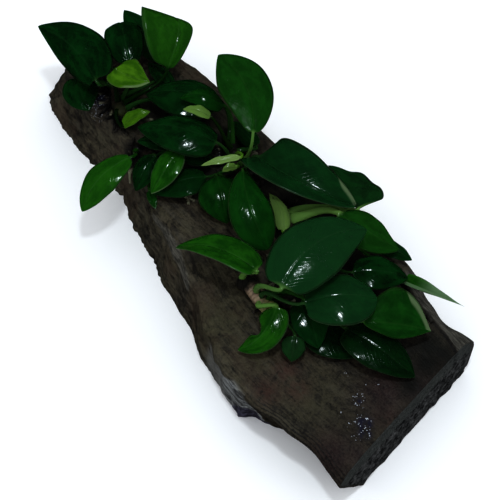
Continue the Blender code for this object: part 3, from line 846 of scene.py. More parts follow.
def outline_corners(x):
    """The slab's outline at one place along it, as in the part: how far across and how high each point is."""
    left_foot, left_rim, right_rim, right_foot = outline_at(x)
    corners = [(left_foot, 0.0), ((left_foot + right_foot) / 2, 0.0), (right_foot, 0.0)]
    right_height = top_height(x, right_rim) - RIGHT_SHOULDER
    worn = LEFT_SHOULDER[0] + (LEFT_SHOULDER[1] - LEFT_SHOULDER[0]) * ease(-x / SHOULDER_REACH)
    left_height = top_height(x, left_rim) - worn
    for share in BANK_SHARES:
        bulge = BANK_SWELL + BANK_RELIEF * wood_noise(x, right_foot, share * SLAB_TOP, BANK_GRAIN)
        corners.append((right_foot + (right_rim - right_foot) * share + bulge, right_height * share))
    corners.append((right_rim, right_height))
    for i in range(TOP_POINTS):
        y = right_rim + (left_rim - right_rim) * (i + 0.5) / TOP_POINTS
        corners.append((y, top_height(x, y)))
    corners.append((left_rim, left_height))
    for share in reversed(BANK_SHARES):
        bulge = BANK_RELIEF * wood_noise(x, left_foot, share * SLAB_TOP, BANK_GRAIN)
        corners.append((left_foot + (left_rim - left_foot) * share - bulge, left_height * share))
    return corners


def stretch_steps():
    """How many steps each stretch of the outline gets: the bottom, a bank, the top and the other bank."""
    bank = [BANK_STEPS] * 3
    return [BOTTOM_STEPS] * 2 + bank + [TOP_STEPS] * (TOP_POINTS + 1) + bank


def fine_outline(x):
    """The outline divided finely, with its rims rounded; the flat bottom stays as it is."""
    corners = outline_corners(x)
    points = []
    for i, steps in enumerate(stretch_steps()):
        (y0, z0), (y1, z1) = corners[i], corners[(i + 1) % len(corners)]
        points += [(y0 + (y1 - y0) * k / steps, z0 + (z1 - z0) * k / steps) for k in range(steps)]
    points = np.array(points)
    low = np.clip(1.0 - points[:, 1] / FOOT_HEIGHT, 0.0, 1.0)
    outer = np.clip(1.0 - (points[:, 0] - corners[0][0]) / FOOT_DEPTH, 0.0, 1.0)
    points[:, 0] -= foot_break(x) * (low * outer)
    first = 2 * BOTTOM_STEPS + 1
    for _ in range(RIM_SMOOTHING):
        around = np.roll(points, 1, 0) + 2.0 * points + np.roll(points, -1, 0)
        points[first:] = around[first:] / 4.0
    return points


def foot_break(x):
    """How far the left bank's foot stands out at one place along the slab: most toward the far end and below
    the lump."""
    toward_far = FOOT_SHARE + (1.0 - FOOT_SHARE) * ease((FOOT_FROM_X - x) / FOOT_BLEND)
    share = max(toward_far, ease(1.0 - abs(x - LUMP_X) / LUMP_HALF_LENGTH))
    return share * sum(height * noise_at(x / size, *FOOT_NOISE) for height, size in FOOT_BREAKS)


def grain_place(x, y, z):
    """Where a point lies in the grain: along the fibres, across them, and down, bent round the knots."""
    push = 0.0
    for knot_x, knot_y, reach, strength in KNOTS:
        dx, dy = (x - knot_x) / (reach * KNOT_STRETCH), (y - knot_y) / reach
        push += strength * math.exp(-dx * dx - dy * dy)
    length, width = GRAIN_DRIFT_SIZE
    drift = GRAIN_DRIFT * noise_at(x / length, y / width, NOISE_LAYERS["drift"])
    return (x, y + push + drift, z)


def relief(grain):
    """How far the weathered surface stands out or lies in, at a place in the grain."""
    x, y, z = grain
    total = 0.0
    for layer, (height, length, width) in enumerate((LUMPS, FURROWS, FIBRES)):
        total += height * noise_at(x / length, y / width, z / width + NOISE_LAYERS["relief"] * layer)
    length, width = CRACK_SIZE
    split = noise_at(x / length, y / width, z / width + NOISE_LAYERS["split"])
    spread = noise_at(x / CRACK_SPREAD[0], y / CRACK_SPREAD[1], NOISE_LAYERS["spread"])
    crack = max(0.0, 1.0 - abs(split) / CRACK_WIDTH) * ease(spread * CRACK_GAIN)
    return total - CRACK_DEPTH * crack


def risen(z, height):
    """0 below a height and 1 above it; the second number says over how much height it changes."""
    return ease((z - height[0]) / height[1])


def near_line(x, y, line, reach, flat=1.0):
    """1 on a line and 0 away from it, with a flat middle."""
    return ease(flat - distance_to_line(x, y, line) / reach)


def on_left_bank(x, y):
    left_foot, left_rim, right_rim, right_foot = outline_at(x)
    return ease((max(left_foot, left_rim) + BANK_EDGE - y) / BANK_BLEND)


def edge_at(x, line):
    """How high, or how far across, an edge lies at one place along the slab."""
    return float(np.interp(x, *zip(*line)))


def facet_share(x, y, z):
    """The pale split facet on the left bank: palest at its near end."""
    start, end = FACET_EDGE[0][0], FACET_EDGE[-1][0]
    if not start < x < end:
        return 0.0
    pale = FACET_PALE + (1.0 - FACET_PALE) * ease((x - FACET_PALE_FROM_X) / FACET_PALE_BLEND)
    pale *= ease((x - start) / FACET_FADE)
    return ease((edge_at(x, FACET_EDGE) - z) / EDGE_BLUR) * pale * on_left_bank(x, y)


def lump_share(x, y, z):
    """The dark lump that sticks out of the left bank's foot."""
    if not LUMP_EDGE[0][0] < x < LUMP_EDGE[-1][0]:
        return 0.0
    return ease((edge_at(x, LUMP_EDGE) - z) / EDGE_BLUR) * on_left_bank(x, y)


def worn_share(x, y, z):
    """Where the wood is worn grey: the lip, and the streak near the left rim."""
    inside = y - edge_at(x, LIP_CRACK + LIP_LINE[1:]) - LIP_WORN_INSET
    lip = ease(inside / LIP_WORN_BLUR) * ease((x - LIP_WORN_FROM_X) / LIP_WORN_BLEND) * risen(z, LIP_HEIGHT)
    return max(lip, near_line(x, y, STREAK, STREAK_WIDTH) * risen(z, TOP_HEIGHT))


def lip_crack(x, y, z):
    return near_line(x, y, LIP_CRACK, LIP_CRACK_WIDTH, LIP_CRACK_FLAT) * risen(z, CRACK_HEIGHT)


def wet_and_crack_shade_share(x, y, z):
    """Where the wood is painted black: wet round the rhizomes, and painted shade in the lip's crack and line.
    """
    roots = max(near_line(x, y, ends, SOAKED_REACH, SOAKED_FLAT) for ends in SOAKED_LINES)
    line = near_line(x, y, LIP_LINE, LIP_LINE_WIDTH, LIP_LINE_FLAT) * LIP_LINE_SHARE
    return max(lip_crack(x, y, z), line * risen(z, CRACK_HEIGHT), roots * risen(z, TOP_HEIGHT))


def patch_share(x, y, z, patches):
    """How much of a patch colours this place of the top."""
    share = 0.0
    for patch_x, patch_y, reach in patches:
        share = max(share, math.exp(-((x - patch_x) ** 2 + (y - patch_y) ** 2) / (reach * reach)))
    return share * risen(z, PATCH_HEIGHT)


def ragged(x, y, z):
    """The broken surface: strongest at the far end and along the banks, gentle on the top."""
    share = RAGGED_SHARE + (1.0 - RAGGED_SHARE) * ease((RAGGED_FROM_X - x) / RAGGED_BLEND)
    bank_share, bank_height, bank_blend = RAGGED_BANK
    share = max(share, bank_share * ease((bank_height - z) / bank_blend), lump_share(x, y, z))
    total = 0.0
    for height, size in RAGGED:
        length = size * RAGGED_STRETCH
        total += height * noise_at(x / length, y / size, z / size + NOISE_LAYERS["ragged"])
    return total * share


def chip(y, z):
    """How far the lower edge of the sawn face is broken back."""
    broken = CHIP_SHARE
    for share, width, height, layer in CHIPS:
        broken += share * noise_at(y / width, z / height, layer)
    return CHIP_DEPTH * max(0.0, broken) * ease((CHIP_HEIGHT - z) / CHIP_HEIGHT)


def end_roughness(x, y, z, sawn):
    """Saw marks on the sawn face, and hollows on the broken end."""
    if sawn:
        return SAW_MARKS * noise_at(z / SAW_MARK_SIZE[0], y / SAW_MARK_SIZE[1], NOISE_LAYERS["saw"])
    return BROKEN_END * noise_at(x, y / BROKEN_SIZE[0], z / BROKEN_SIZE[1])


def end_cap(ring, x, sawn, first_index, edge_start):
    """Points and faces that close one end of the slab: rings that shrink toward the end's middle."""
    count = len(ring)
    middle = ring.mean(0)
    points, faces = [], []
    rows = [list(range(edge_start, edge_start + count))]
    for r in range(1, END_RINGS):
        share = 1.0 - r / END_RINGS
        fade = ease(min(1.0, r / END_BLEND_RINGS))
        rows.append(list(range(first_index + len(points), first_index + len(points) + count)))
        for y, z in middle + (ring - middle) * share:
            back = chip(y, z) if sawn else 0.0
            points.append((x + end_shift(x, y, z) + end_roughness(x, y, z, sawn) * fade - back, y, z))
    centre = first_index + len(points)
    y, z = middle
    points.append((x + end_shift(x, y, z), y, z))
    for near, far in zip(rows, rows[1:]):
        for j in range(count):
            k = (j + 1) % count
            faces.append((near[j], near[k], far[k], far[j]) if sawn else (near[k], near[j], far[j], far[k]))
    last = rows[-1]
    for j in range(count):
        k = (j + 1) % count
        faces.append((last[j], last[k], centre) if sawn else (last[k], last[j], centre))
    return points, faces


def slab_marks(points):
    """The numbers that the driftwood's finish reads at each point of the slab."""
    shares = {"worn": worn_share, "wet_and_crack_shade": wet_and_crack_shade_share, "facet": facet_share, "lump": lump_share}
    marks = {mark: [share(*p) for p in points] for mark, share in shares.items()}
    for mark, patches in PATCHES.items():
        marks[mark] = [patch_share(*p, patches) for p in points]
    marks["blue_reflection"] = [ease(REFLECTION_GAIN * share) for share in marks["blue_reflection"]]
    marks["near"] = [ease((x - NEAR_FROM_X) / NEAR_BLEND) for x, y, z in points]
    marks["rim"] = [y - outline_at(x)[1] for x, y, z in points]
    marks["layered"] = []
    marks["strip"] = []
    for (x, y, z), rim in zip(points, marks["rim"]):
        on_rim = ease((LAYERS_REACH - abs(rim)) / LAYERS_BLUR)
        near_end = ease((x - LAYERS_FROM_X) / LAYERS_BLEND)
        marks["layered"].append(on_rim * near_end * risen(z, LAYERS_HEIGHT))
        strip_foot = top_height(SLAB_SAWN_X, y) - STRIP_DEPTH
        marks["strip"].append(ease((z - strip_foot) / STRIP_BLEND))
    return marks


def make_slab():
    """The slab: rings along it, pushed out and in by the relief, and a cap on each end."""
    stations = np.linspace(SLAB_FAR_X, SLAB_SAWN_X, WOOD_STATIONS)
    outlines = [fine_outline(x) for x in stations]
    count = len(outlines[0])
    places = np.array([[(x + end_shift(x, y, z), y, z) for y, z in ring]
                       for x, ring in zip(stations, outlines)])
    forward = np.gradient(places, axis=0)
    around = (np.roll(places, -1, 1) - np.roll(places, 1, 1)) / 2.0
    normals = np.cross(around, forward)
    normals /= np.linalg.norm(normals, axis=2, keepdims=True)
    bottom = 2 * BOTTOM_STEPS
    points, grain = [], []
    for i in range(WOOD_STATIONS):
        inward = ease(min(i, WOOD_STATIONS - 1 - i) / END_BLEND_STATIONS)
        relief_share = END_RELIEF + (1.0 - END_RELIEF) * inward
        chipped = ease((stations[i] - SLAB_SAWN_X + CHIP_REACH) / CHIP_REACH)
        for j in range(count):
            x, y, z = places[i, j]
            grained = grain_place(x, y, z)
            grain.append(grained)
            back = chip(y, z) * chipped
            if j <= bottom:
                points.append((x - back, y, z))
                continue
            depth = (relief(grained) * relief_share + ragged(x, y, z)) * ease(z / UNDERSIDE_BLEND)
            depth -= LIP_CRACK_DEPTH * lip_crack(x, y, z)
            x, y, z = places[i, j] + normals[i, j] * depth
            points.append((x - back, y, max(z, 0.0)))
    faces = grid_faces(WOOD_STATIONS, count)
    sawn = [0.0] * len(points)
    for end_x, is_sawn, start in ((SLAB_FAR_X, False, 0), (SLAB_SAWN_X, True, (WOOD_STATIONS - 1) * count)):
        edge = np.array([p[1:] for p in points[start:start + count]])
        extra, closing = end_cap(edge, end_x, is_sawn, len(points), start)
        points += extra
        faces += closing
        grain += [grain_place(*p) for p in extra]
        sawn += [1.0 if is_sawn else 0.0] * len(extra)
    marks = {"grain": grain, "sawn": sawn, **slab_marks(points)}
    slab = mesh_object("driftwood_slab", points, faces, wood_finish(), marks)
    crease_sawn_edge(slab)
    return slab


def crease_sawn_edge(slab):
    """Keeps the rim of the sawn face crisp: its faces and the bank's meet at a sharp edge."""
    mesh = slab.data
    cut = np.zeros(len(mesh.vertices), np.float32)
    mesh.attributes["sawn"].data.foreach_get("value", cut)
    on_face = [any(cut[v] > 0.5 for v in polygon.vertices) for polygon in mesh.polygons]
    sides = {}
    for polygon, flag in zip(mesh.polygons, on_face):
        for key in polygon.edge_keys:
            sides.setdefault(key, []).append(flag)
    sharp = mesh.attributes.new("sharp_edge", "BOOLEAN", "EDGE")
    sharp.data.foreach_set("value", [len(set(sides[tuple(sorted(e.vertices))])) > 1 for e in mesh.edges])


# The rhizomes

def rhizome_axis(plant, t):
    """A point on the creeping stem's axis, resting just above the wood."""
    (x0, y0), (x1, y1), radius = RHIZOMES[plant]
    x, y = x0 + (x1 - x0) * t, y0 + (y1 - y0) * t
    across = Vector((y0 - y1, x1 - x0, 0.0)).normalized()
    steps = (-RHIZOME_FOOT, 0.0, RHIZOME_FOOT)
    below = max(top_height(x + dx, y + dy) for dx in steps for dy in steps)
    bend = RHIZOME_BEND * math.sin(t * math.pi * 2.0)
    return Vector((x, y, below + radius * (1 + RHIZOME_NODE_SWELL) + TOUCH_GAP)) + across * bend


def rhizome_frame(plant, t):
    before, after = max(t - FRAME_STEP, 0.0), min(t + FRAME_STEP, 1.0)
    ahead = (rhizome_axis(plant, after) - rhizome_axis(plant, before)).normalized()
    side = Vector((0.0, 0.0, 1.0)).cross(ahead).normalized()
    return side, ahead.cross(side)


def make_rhizome(plant, finish):
    """A creeping stem: knobbly, with a crease at each old leaf's scar and a blunt end."""
    (x0, y0), (x1, y1), radius = RHIZOMES[plant]
    length = math.hypot(x1 - x0, y1 - y0)
    points, ring_mark, along = [], [], []
    for i in range(RHIZOME_STATIONS):
        t = i / (RHIZOME_STATIONS - 1)
        centre = rhizome_axis(plant, t)
        side, up = rhizome_frame(plant, t)
        from_end = min(min(t, 1.0 - t) * length / radius * RHIZOME_ROUNDING, 1.0)
        rounded = math.sqrt(max(0.0, 1.0 - (1.0 - from_end) ** 2))
        taper = RHIZOME_TIP + (1.0 - RHIZOME_TIP) * rounded
        for k in range(RHIZOME_SIDES):
            turn = 2 * math.pi * k / RHIZOME_SIDES
            out = side * math.cos(turn) + up * math.sin(turn)
            phase = t * length / SCAR_SPACING + SCAR_WANDER * math.sin(turn + SCAR_TWIST * t)
            crease = max(0.0, 1.0 - abs(phase - round(phase)) / SCAR_WIDTH)
            knob = KNOB_HEIGHT * noise.noise((centre + out * radius) / KNOB_SIZE)
            points.append(centre + out * radius * taper * (RHIZOME_SKIN + knob - SCAR_DEPTH * crease))
            ring_mark.append(crease)
            along.append(t)
    faces = grid_faces(RHIZOME_STATIONS, RHIZOME_SIDES)
    faces.append(tuple(range(RHIZOME_SIDES))[::-1])
    faces.append(tuple(range(len(points) - RHIZOME_SIDES, len(points))))
    return mesh_object(plant + "_stem", points, faces, finish, {"ring": ring_mark, "along": along})


# The leaves

def width_share(shape, t):
    """How wide the blade is at t, as a share of its widest."""
    a, b = shape["rise"], shape["fall"]
    widest = a / (a + b)
    return t ** a * (1.0 - t) ** b / (widest ** a * (1.0 - widest) ** b)


def blade_frame(shape):
    """The midrib's four control points, and the blade's face direction at its base."""
    chord = shape["tip"] - shape["base"]
    ahead = chord.normalized()
    side = Vector((0.0, 0.0, 1.0)).cross(ahead).normalized()
    face = ahead.cross(side)
    turn = shape["roll"]
    side, face = side * math.cos(turn) + face * math.sin(turn), face * math.cos(turn) - side * math.sin(turn)
    bow = face * (shape["lift"] * 4 / 3) + side * (shape["sway"] * 4 / 3)
    base, tip = shape["base"], shape["tip"]
    return (base, base + chord / 3 + bow, tip - chord / 3 + bow, tip), face


def across_blade(half_width, share, fold, curl):
    """How far out and up a point of the half blade lies, at this share of the way to the margin."""
    if abs(curl) < 0.01:
        return half_width * share * math.cos(fold), half_width * share * math.sin(fold)
    out = half_width * (math.sin(fold + curl * share) - math.sin(fold)) / curl
    up = half_width * (math.cos(fold) - math.cos(fold + curl * share)) / curl
    return out, up


def petiole_start(plant, place, angle):
    """Where a leaf stalk leaves its rhizome, a little inside its skin, and which way it points there."""
    side, up = rhizome_frame(plant, place)
    out = side * math.sin(angle) + up * math.cos(angle)
    return rhizome_axis(plant, place) + out * RHIZOMES[plant][2] * STALK_START, out


def leaf_places(plant):
    """Where each leaf's stalk leaves the rhizome, and how far it leans, as in the part."""
    first, last = rhizome_axis(plant, 0.0), rhizome_axis(plant, 1.0)
    along = (last - first).normalized()
    side = Vector((0.0, 0.0, 1.0)).cross(along).normalized()
    shapes = LEAVES[plant]
    near, far = STALK_SPAN
    order = sorted(range(len(shapes)), key=lambda i: (shapes[i]["base"] - first).dot(along))
    places = {}
    for rank, i in enumerate(order):
        offset = (shapes[i]["base"] - (first + last) / 2).dot(side)
        lean = shapes[i]["lean"]
        if lean is None:
            lean = max(-LEAN_LIMIT, min(LEAN_LIMIT, offset * LEAN_PER_MM))
        share = shapes[i]["place"]
        if share is None:
            share = (rank + 0.5) / len(shapes)
        places[i] = (near + (far - near) * share, math.radians(lean))
    return places


def across_shares():
    """Signed shares across the blade from the left margin to the right: closest together at the midrib."""
    evens = [1.0 - k / HALF_POINTS for k in range(2 * HALF_POINTS + 1)]
    return [math.copysign(abs(even) ** CROWDING, even) for even in evens]


def vein_height(length, share, t):
    """The sunk lines of the side veins, which leave the midrib and run forward to the margin."""
    phase = (t - VEIN_SWEEP * abs(share) ** VEIN_CURVE) * length / VEIN_PITCH
    line = max(0.0, 1.0 - abs(phase - round(phase)) / VEIN_WIDTH)
    return line * line * (1.0 - abs(share) ** 3)


def blade_height(length, share, t, under, half, thin):
    """How far a point of the blade's upper or lower face lies off the middle of the blade."""
    from_rib = abs(share) * half
    body = BLADE_HALF_THICKNESS * thin * (1.0 - share ** 4)
    veins = VEIN_HEIGHT * vein_height(length, share, t) * thin
    if under:
        depth = RIB_DEPTH[0] + (RIB_DEPTH[1] - RIB_DEPTH[0]) * t
        return -(body + depth * thin * math.exp(-(from_rib / RIB_REACH) ** 2) - veins * 0.5)
    return body - GROOVE_DEPTH * thin * math.exp(-(from_rib / GROOVE_REACH) ** 2) - veins


def blade_points(shape, rib, face, t, random_phase):
    """One ring round the blade, with its marks: over the top from left to right, and back below."""
    length = (shape["tip"] - shape["base"]).length
    centre = bezier(rib, t)
    ahead = bezier_direction(rib, t)
    normal = (face - ahead * face.dot(ahead)).normalized()
    left = normal.cross(ahead)
    first, last = BLADE_SPAN
    widest = shape["width"] / 2 * width_share(shape, min(max(t, first), last))
    round_in = 1.0 - ease(t / STALK_TO_BLADE)
    stalk_radius = PETIOLE_RADIUS * PETIOLE_TAPER[1] * shape["thick"]
    shares = across_shares()
    top = [(share, 0) for share in shares]
    below = [(share, 1) for share in shares[-2:0:-1]]
    ring, marks = [], []
    for share, under in top + below:
        hand = 0 if share > 0 else 1
        size = abs(share)
        half = widest * shape["halves"][hand]
        if shape["notch"] and shape["notch"][3] == hand:
            middle, deep, reach, _ = shape["notch"]
            half *= 1.0 - deep * math.exp(-((t - middle) / reach) ** 2)
        half = max(half, NARROWEST_HALF)
        thin = min(1.0, half / THINNING_HALF)
        out, up = across_blade(half, size, shape["fold"][hand], shape["curl"][hand])
        wave = math.sin(t * WAVE_TURNS + (random_phase + WAVE_SHIFT * hand)) * math.sin(math.pi * t)
        up += shape["wave"] * size ** 3 * thin * wave
        up += blade_height(length, share, t, under, half, thin)
        sweep = LOBE_SWEEP * length * size * size * LOBE_PEAK * t * (1.0 - t) ** LOBE_FADE
        angle = math.acos(max(-1.0, min(1.0, share)))
        round_out = math.cos(angle) * stalk_radius
        round_up = math.sin(angle) * stalk_radius * (-1.0 if under else 1.0)
        flat = left * (math.copysign(out, share) * (1 - round_in) + round_out * round_in)
        flat += normal * (up * (1 - round_in) + round_up * round_in)
        ring.append(centre + flat - ahead * sweep * (1 - round_in))
        rim = (shape["rims"][hand] + 1.0) * ease((t - shape["rim_from"][hand]) / RIM_BLEND) - 1.0
        pale = shape["pale"] * (ease((t - shape["pale_from"]) / PALE_BLEND) if share > 0 else 1.0)
        marks.append((share, t, half * (1.0 - size), size * half, under if size < 1.0 else 0.5,
                      round_in * shape["stalk"], rim, pale))
    return ring, marks


def stalk_marks(shape):
    """The marks of a point on the stalk, in the order of LEAF_MARKS."""
    return (0.0, 0.0, STALK_EDGE, STALK_EDGE, 0.0, shape["stalk"], -1.0, 0.0)


def stalk_points(start, out, shape, rib, face):
    """Rings along the stalk, flared where it grips the rhizome."""
    reach = (shape["base"] - start).length
    blade_way = bezier_direction(rib, 0.0)
    leave, arrive = STALK_PULL[0], shape["pull"]
    path = (start, start + out * reach * leave, shape["base"] - blade_way * reach * arrive, shape["base"])
    shares = across_shares()
    angles = [math.acos(share) for share in shares] + [-math.acos(share) for share in shares[-2:0:-1]]
    rings, marks = [], []
    for i in range(STALK_RINGS):
        t = i / STALK_RINGS
        ahead = bezier_direction(path, t)
        normal = (face - ahead * face.dot(ahead)).normalized()
        left = normal.cross(ahead)
        radius = PETIOLE_RADIUS * (PETIOLE_TAPER[0] + (PETIOLE_TAPER[1] - PETIOLE_TAPER[0]) * t)
        radius *= (1.0 + STALK_FLARE * (1.0 - t) ** FLARE_POWER) * shape["thick"]
        rings.append([bezier(path, t) + (left * math.cos(a) + normal * math.sin(a)) * radius for a in angles])
        marks.append([stalk_marks(shape)] * len(angles))
    return rings, marks


def make_leaf(plant, index, place, angle, finish):
    """One leaf with its stalk, closed at both ends."""
    shape = LEAVES[plant][index]
    rib, face = blade_frame(shape)
    start, out = petiole_start(plant, place, angle)
    rings, marks = stalk_points(start, out, shape, rib, face)
    phase = noise.random() * WAVE_STARTS
    for i in range(BLADE_RINGS + 1):
        t = 0.5 - 0.5 * math.cos(math.pi * i / BLADE_RINGS)
        ring, marked = blade_points(shape, rib, face, min(t, NEAR_TIP), phase)
        rings.append(ring)
        marks.append(marked)
    around = len(rings[0])
    points = [p for ring in rings for p in ring] + [start, shape["tip"]]
    faces = grid_faces(len(rings), around)
    last = len(points) - 2 - around
    faces += [((j + 1) % around, j, len(points) - 2) for j in range(around)]
    faces += [(last + j, last + (j + 1) % around, len(points) - 1) for j in range(around)]
    flat = [m for marked in marks for m in marked]
    flat += [stalk_marks(shape), (0.0, 1.0, 0.0, 0.0, 0.0, 0.0, -1.0, shape["pale"])]
    named = dict(zip(LEAF_MARKS, np.array(flat, np.float32).T))
    length = (shape["tip"] - shape["base"]).length
    for mark, value in {"length": length, "own": noise.random(), "sheen_and_shade": shape["sheen_and_shade"]}.items():
        named[mark] = np.full(len(points), value, np.float32)
    return mesh_object("%s_foliage%d" % (plant, index + 1), points, faces, finish, named)


# Roots, grown along lines with Geometry Nodes

def geometry_tree(name, inputs):
    """An empty node tree that takes a geometry and these named inputs, and gives a geometry."""
    tree = bpy.data.node_groups.new(name, "GeometryNodeTree")
    tree.interface.new_socket("Geometry", in_out="INPUT", socket_type="NodeSocketGeometry")
    for socket, (kind, value) in inputs.items():
        made = tree.interface.new_socket(socket, in_out="INPUT", socket_type="NodeSocket" + kind)
        if value is not None:
            made.default_value = value
    tree.interface.new_socket("Geometry", in_out="OUTPUT", socket_type="NodeSocketGeometry")
    return tree, tree.nodes.new("NodeGroupInput"), tree.nodes.new("NodeGroupOutput")


def add_geometry_node(tree, kind, settings=None, inputs=None):
    made = tree.nodes.new(kind)
    for setting, value in (settings or {}).items():
        setattr(made, setting, value)
    for socket, value in (inputs or {}).items():
        if isinstance(value, bpy.types.NodeSocket):
            tree.links.new(value, made.inputs[socket])
        else:
            made.inputs[socket].default_value = value
    return made


def tube_tree():
    """Tubes along the edges of a mesh, as thick as its points say."""
    tree, given, result = geometry_tree("root_tubes", {"Sides": ("Int", 7), "Finish": ("Material", None)})
    line = add_geometry_node(tree, "GeometryNodeMeshToCurve", inputs={"Mesh": given.outputs["Geometry"]})
    thick = add_geometry_node(tree, "GeometryNodeInputNamedAttribute", {"data_type": "FLOAT"},
                              {"Name": "thick"})
    sized = add_geometry_node(tree, "GeometryNodeSetCurveRadius", inputs={
        "Curve": line.outputs["Curve"], "Radius": thick.outputs["Attribute"]})
    ring = add_geometry_node(tree, "GeometryNodeCurvePrimitiveCircle", inputs={
        "Resolution": given.outputs["Sides"], "Radius": MM})
    tube = add_geometry_node(tree, "GeometryNodeCurveToMesh", inputs={
        "Curve": sized.outputs["Curve"], "Profile Curve": ring.outputs["Curve"], "Fill Caps": True})
    smooth = add_geometry_node(tree, "GeometryNodeSetShadeSmooth", inputs={
        "Geometry": tube.outputs["Mesh"]})
    real = add_geometry_node(tree, "GeometryNodeRealizeInstances", inputs={
        "Geometry": smooth.outputs["Geometry"]})
    dressed = add_geometry_node(tree, "GeometryNodeSetMaterial", inputs={
        "Geometry": real.outputs["Geometry"], "Material": given.outputs["Finish"]})
    tree.links.new(dressed.outputs["Geometry"], result.inputs["Geometry"])
    return tree


def grow(name, source, tree, values):
    """Runs a node tree on a source object and keeps the result as a plain mesh."""
    modifier = source.modifiers.new("grow", "NODES")
    modifier.node_group = tree
    for socket, value in values.items():
        modifier[tree.interface.items_tree[socket].identifier] = value
    graph = bpy.context.evaluated_depsgraph_get()
    mesh = bpy.data.meshes.new_from_object(source.evaluated_get(graph), depsgraph=graph)
    grown = bpy.data.objects.new(name, mesh)
    bpy.context.collection.objects.link(grown)
    bpy.data.objects.remove(source, do_unlink=True)
    return grown


def creep(surface, start, heading, length, lift, wander, dice):
    """Points of a root that leaves its start and creeps over the wood, in millimetres."""
    place, points = start.copy(), [start.copy()]
    for i in range(int(length / ROOT_STEP)):
        bend = Vector((dice.gauss(0, wander), dice.gauss(0, wander), dice.gauss(0, wander * ROOT_FLATNESS)))
        heading = (heading + bend).normalized()
        place = place + heading * ROOT_STEP
        hit, normal, _, _ = surface.find_nearest(place * MM)
        hit = hit / MM
        landed = ease(i / ROOT_LANDING)
        place = place.lerp(hit + normal * lift, landed)
        heading = (heading - normal * heading.dot(normal) * landed).normalized()
        points.append(place.copy())
    return points


def shown_root(surface, line, width):
    """Points of one named root that lies on the wood, in millimetres."""
    points = []
    for first, last in zip(line, line[1:]):
        for i in range(SHOWN_ROOT_STEPS):
            place = Vector(first).lerp(Vector(last), i / SHOWN_ROOT_STEPS)
            hit, normal, _, _ = surface.find_nearest(place * MM)
            points.append(hit / MM + normal * width * ROOT_LIFT)
    return points


def root_start(plant, dice):
    """Where one root leaves its rhizome, and which way it heads."""
    t = dice.uniform(*ROOT_SPANS.get(plant, ROOT_SPAN))
    radius = RHIZOMES[plant][2]
    side, up = rhizome_frame(plant, t)
    hand = side * ROOT_SIDES.get(plant, 1.0 if dice.random() < 0.5 else -1.0)
    start = rhizome_axis(plant, t) + hand * radius * ROOT_OUT - up * radius * dice.uniform(*ROOT_DOWN)
    ahead = side.cross(up) * dice.uniform(-ROOT_AHEAD, ROOT_AHEAD)
    return start, (hand + ahead - up * ROOT_DIP).normalized()


def root_lines(plant, kind, surface, dice, shown):
    """The lines of one plant's roots: the points of each, its width at each, and how far along each is."""
    for _ in range(kind["count"]):
        start, heading = root_start(plant, dice)
        length = dice.uniform(*kind["lengths"])
        width = kind["thickness"] * dice.uniform(*ROOT_WIDTHS)
        line = creep(surface, start, heading, length, width * ROOT_LIFT, kind["wander"], dice)
        shares = [k / max(1, len(line) - 1) for k in range(len(line))]
        yield line, [width * (1.0 - ROOT_TAPER * share) for share in shares], shares
    for path, width in shown:
        line = shown_root(surface, path, width)
        yield line, [width] * len(line), [1.0] * len(line)


def make_roots(name, plant, kind, surface, tree, finish, shown=()):
    """The roots of one plant: out from its rhizome, over the wood and down its banks."""
    dice = random.Random("%s %d" % (name, SEED))
    points, edges, thick, along = [], [], [], []
    for line, widths, shares in root_lines(plant, kind, surface, dice, shown):
        edges += [(k, k + 1) for k in range(len(points), len(points) + len(line) - 1)]
        points += [p * MM for p in line]
        thick += widths
        along += shares
    mesh = bpy.data.meshes.new(name)
    mesh.from_pydata(points, edges, [])
    for mark, values in {"thick": thick, "along": along, "ring": [0.0] * len(points)}.items():
        mesh.attributes.new(mark, "FLOAT", "POINT").data.foreach_set("value", values)
    source = bpy.data.objects.new(name + "_lines", mesh)
    bpy.context.collection.objects.link(source)
    return grow(name, source, tree, {"Sides": kind["sides"], "Finish": finish})


# The studio

def floor_finish():
    made = Finish("studio_floor", {"Specular IOR Level": 0.1})
    grain = made.noise(made.object_place(), 3.0, 2.0)
    return made.paint(base_color=made.between(grain, *FLOOR_TONES), roughness=0.9)


def make_floor():
    corners = [(x * FLOOR_HALF, y * FLOOR_HALF, -FLOOR_DROP) for x, y in ((-1, -1), (1, -1), (1, 1), (-1, 1))]
    floor = mesh_object("studio_floor", corners, [(0, 1, 2, 3)], floor_finish())
    floor.visible_glossy = False


def add_lamp():
    lamp = bpy.data.lights.new("overhead_lamp", "AREA")
    lamp.size = LAMP_SIZE
    lamp.energy = LAMP_POWER
    lamp.color = LAMP_COLOUR
    thing = bpy.data.objects.new("overhead_lamp", lamp)
    thing.location = LAMP_PLACE
    thing.rotation_euler = (LAMP_PLACE - LAMP_AIM).to_track_quat("Z", "Y").to_euler()
    bpy.context.collection.objects.link(thing)


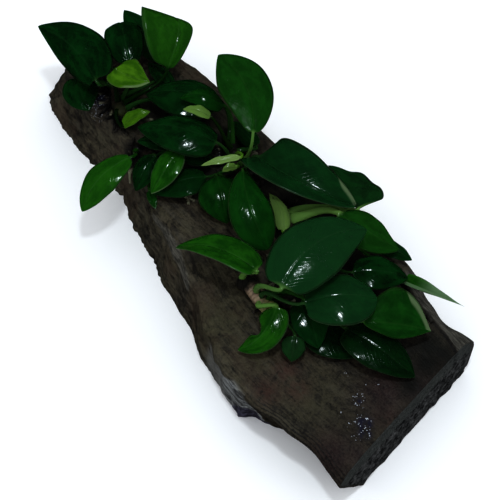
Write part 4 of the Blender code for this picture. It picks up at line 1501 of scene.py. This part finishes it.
def make_studio():
    make_floor()
    world = bpy.data.worlds.new("studio")
    world.use_nodes = True
    sky = world.node_tree.nodes["Background"]
    sky.inputs["Color"].default_value = SKY_COLOUR
    sky.inputs["Strength"].default_value = SKY_STRENGTH
    world.cycles_visibility.glossy = False
    bpy.context.scene.world = world
    add_lamp()
    bpy.context.scene.view_settings.view_transform = "Standard"
    bpy.context.scene.view_settings.look = "High Contrast"


def make_camera():
    turn, rise = math.radians(CAMERA_AZIMUTH), math.radians(CAMERA_ELEVATION)
    back = Vector((math.sin(turn) * math.cos(rise), -math.cos(turn) * math.cos(rise), math.sin(rise)))
    lens = bpy.data.cameras.new("camera")
    lens.lens = CAMERA_LENS
    lens.sensor_width = SENSOR_WIDTH
    camera = bpy.data.objects.new("camera", lens)
    camera.location = LOOK_AT + back * CAMERA_DISTANCE
    camera.rotation_euler = back.to_track_quat("Z", "Y").to_euler()
    bpy.context.collection.objects.link(camera)
    bpy.context.scene.camera = camera


def settle(piece, slot, *nodes):
    """Says what a finished piece rides on and which solids it stands for; its slot is not used."""
    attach(piece, "root")
    if nodes:
        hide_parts(*nodes)


def main():
    noise.seed_set(SEED)
    make_camera()
    make_studio()
    slab = make_slab()
    settle(slab, "driftwood", "driftwood")
    surface = BVHTree.FromPolygons([v.co for v in slab.data.vertices],
                                   [p.vertices for p in slab.data.polygons])
    stems = {name: stem_finish(name, *tones) for name, tones in STEM_TONES.items()}
    leaves = {tone: leaf_finish(tone) for tone in LEAF_TONES}
    tubes = tube_tree()
    for plant in RHIZOMES:
        # The rhizomes under the leaves take the darker copy, painted shade
        stem = stems["rhizome" if plant == UNSHADED_RHIZOME else "shaded_rhizome"]
        settle(make_rhizome(plant, stem), "rhizome", plant + "_rhizome")
        settle(make_roots(plant + "_roots", plant, ROOT_KINDS["roots"], surface, tubes, stems["root"],
                          SHOWN_ROOTS.get(plant, ())), "rhizome")
        settle(make_roots(plant + "_rootlets", plant, ROOT_KINDS["rootlets"], surface, tubes,
                          stems["rootlet"]), "rhizome")
        for index, (place, angle) in sorted(leaf_places(plant).items()):
            tone = LEAVES[plant][index]["tone"]
            settle(make_leaf(plant, index, place, angle, leaves[tone]), "leaf_" + tone,
                   "%s_leaf%d" % (plant, index + 1))


main()
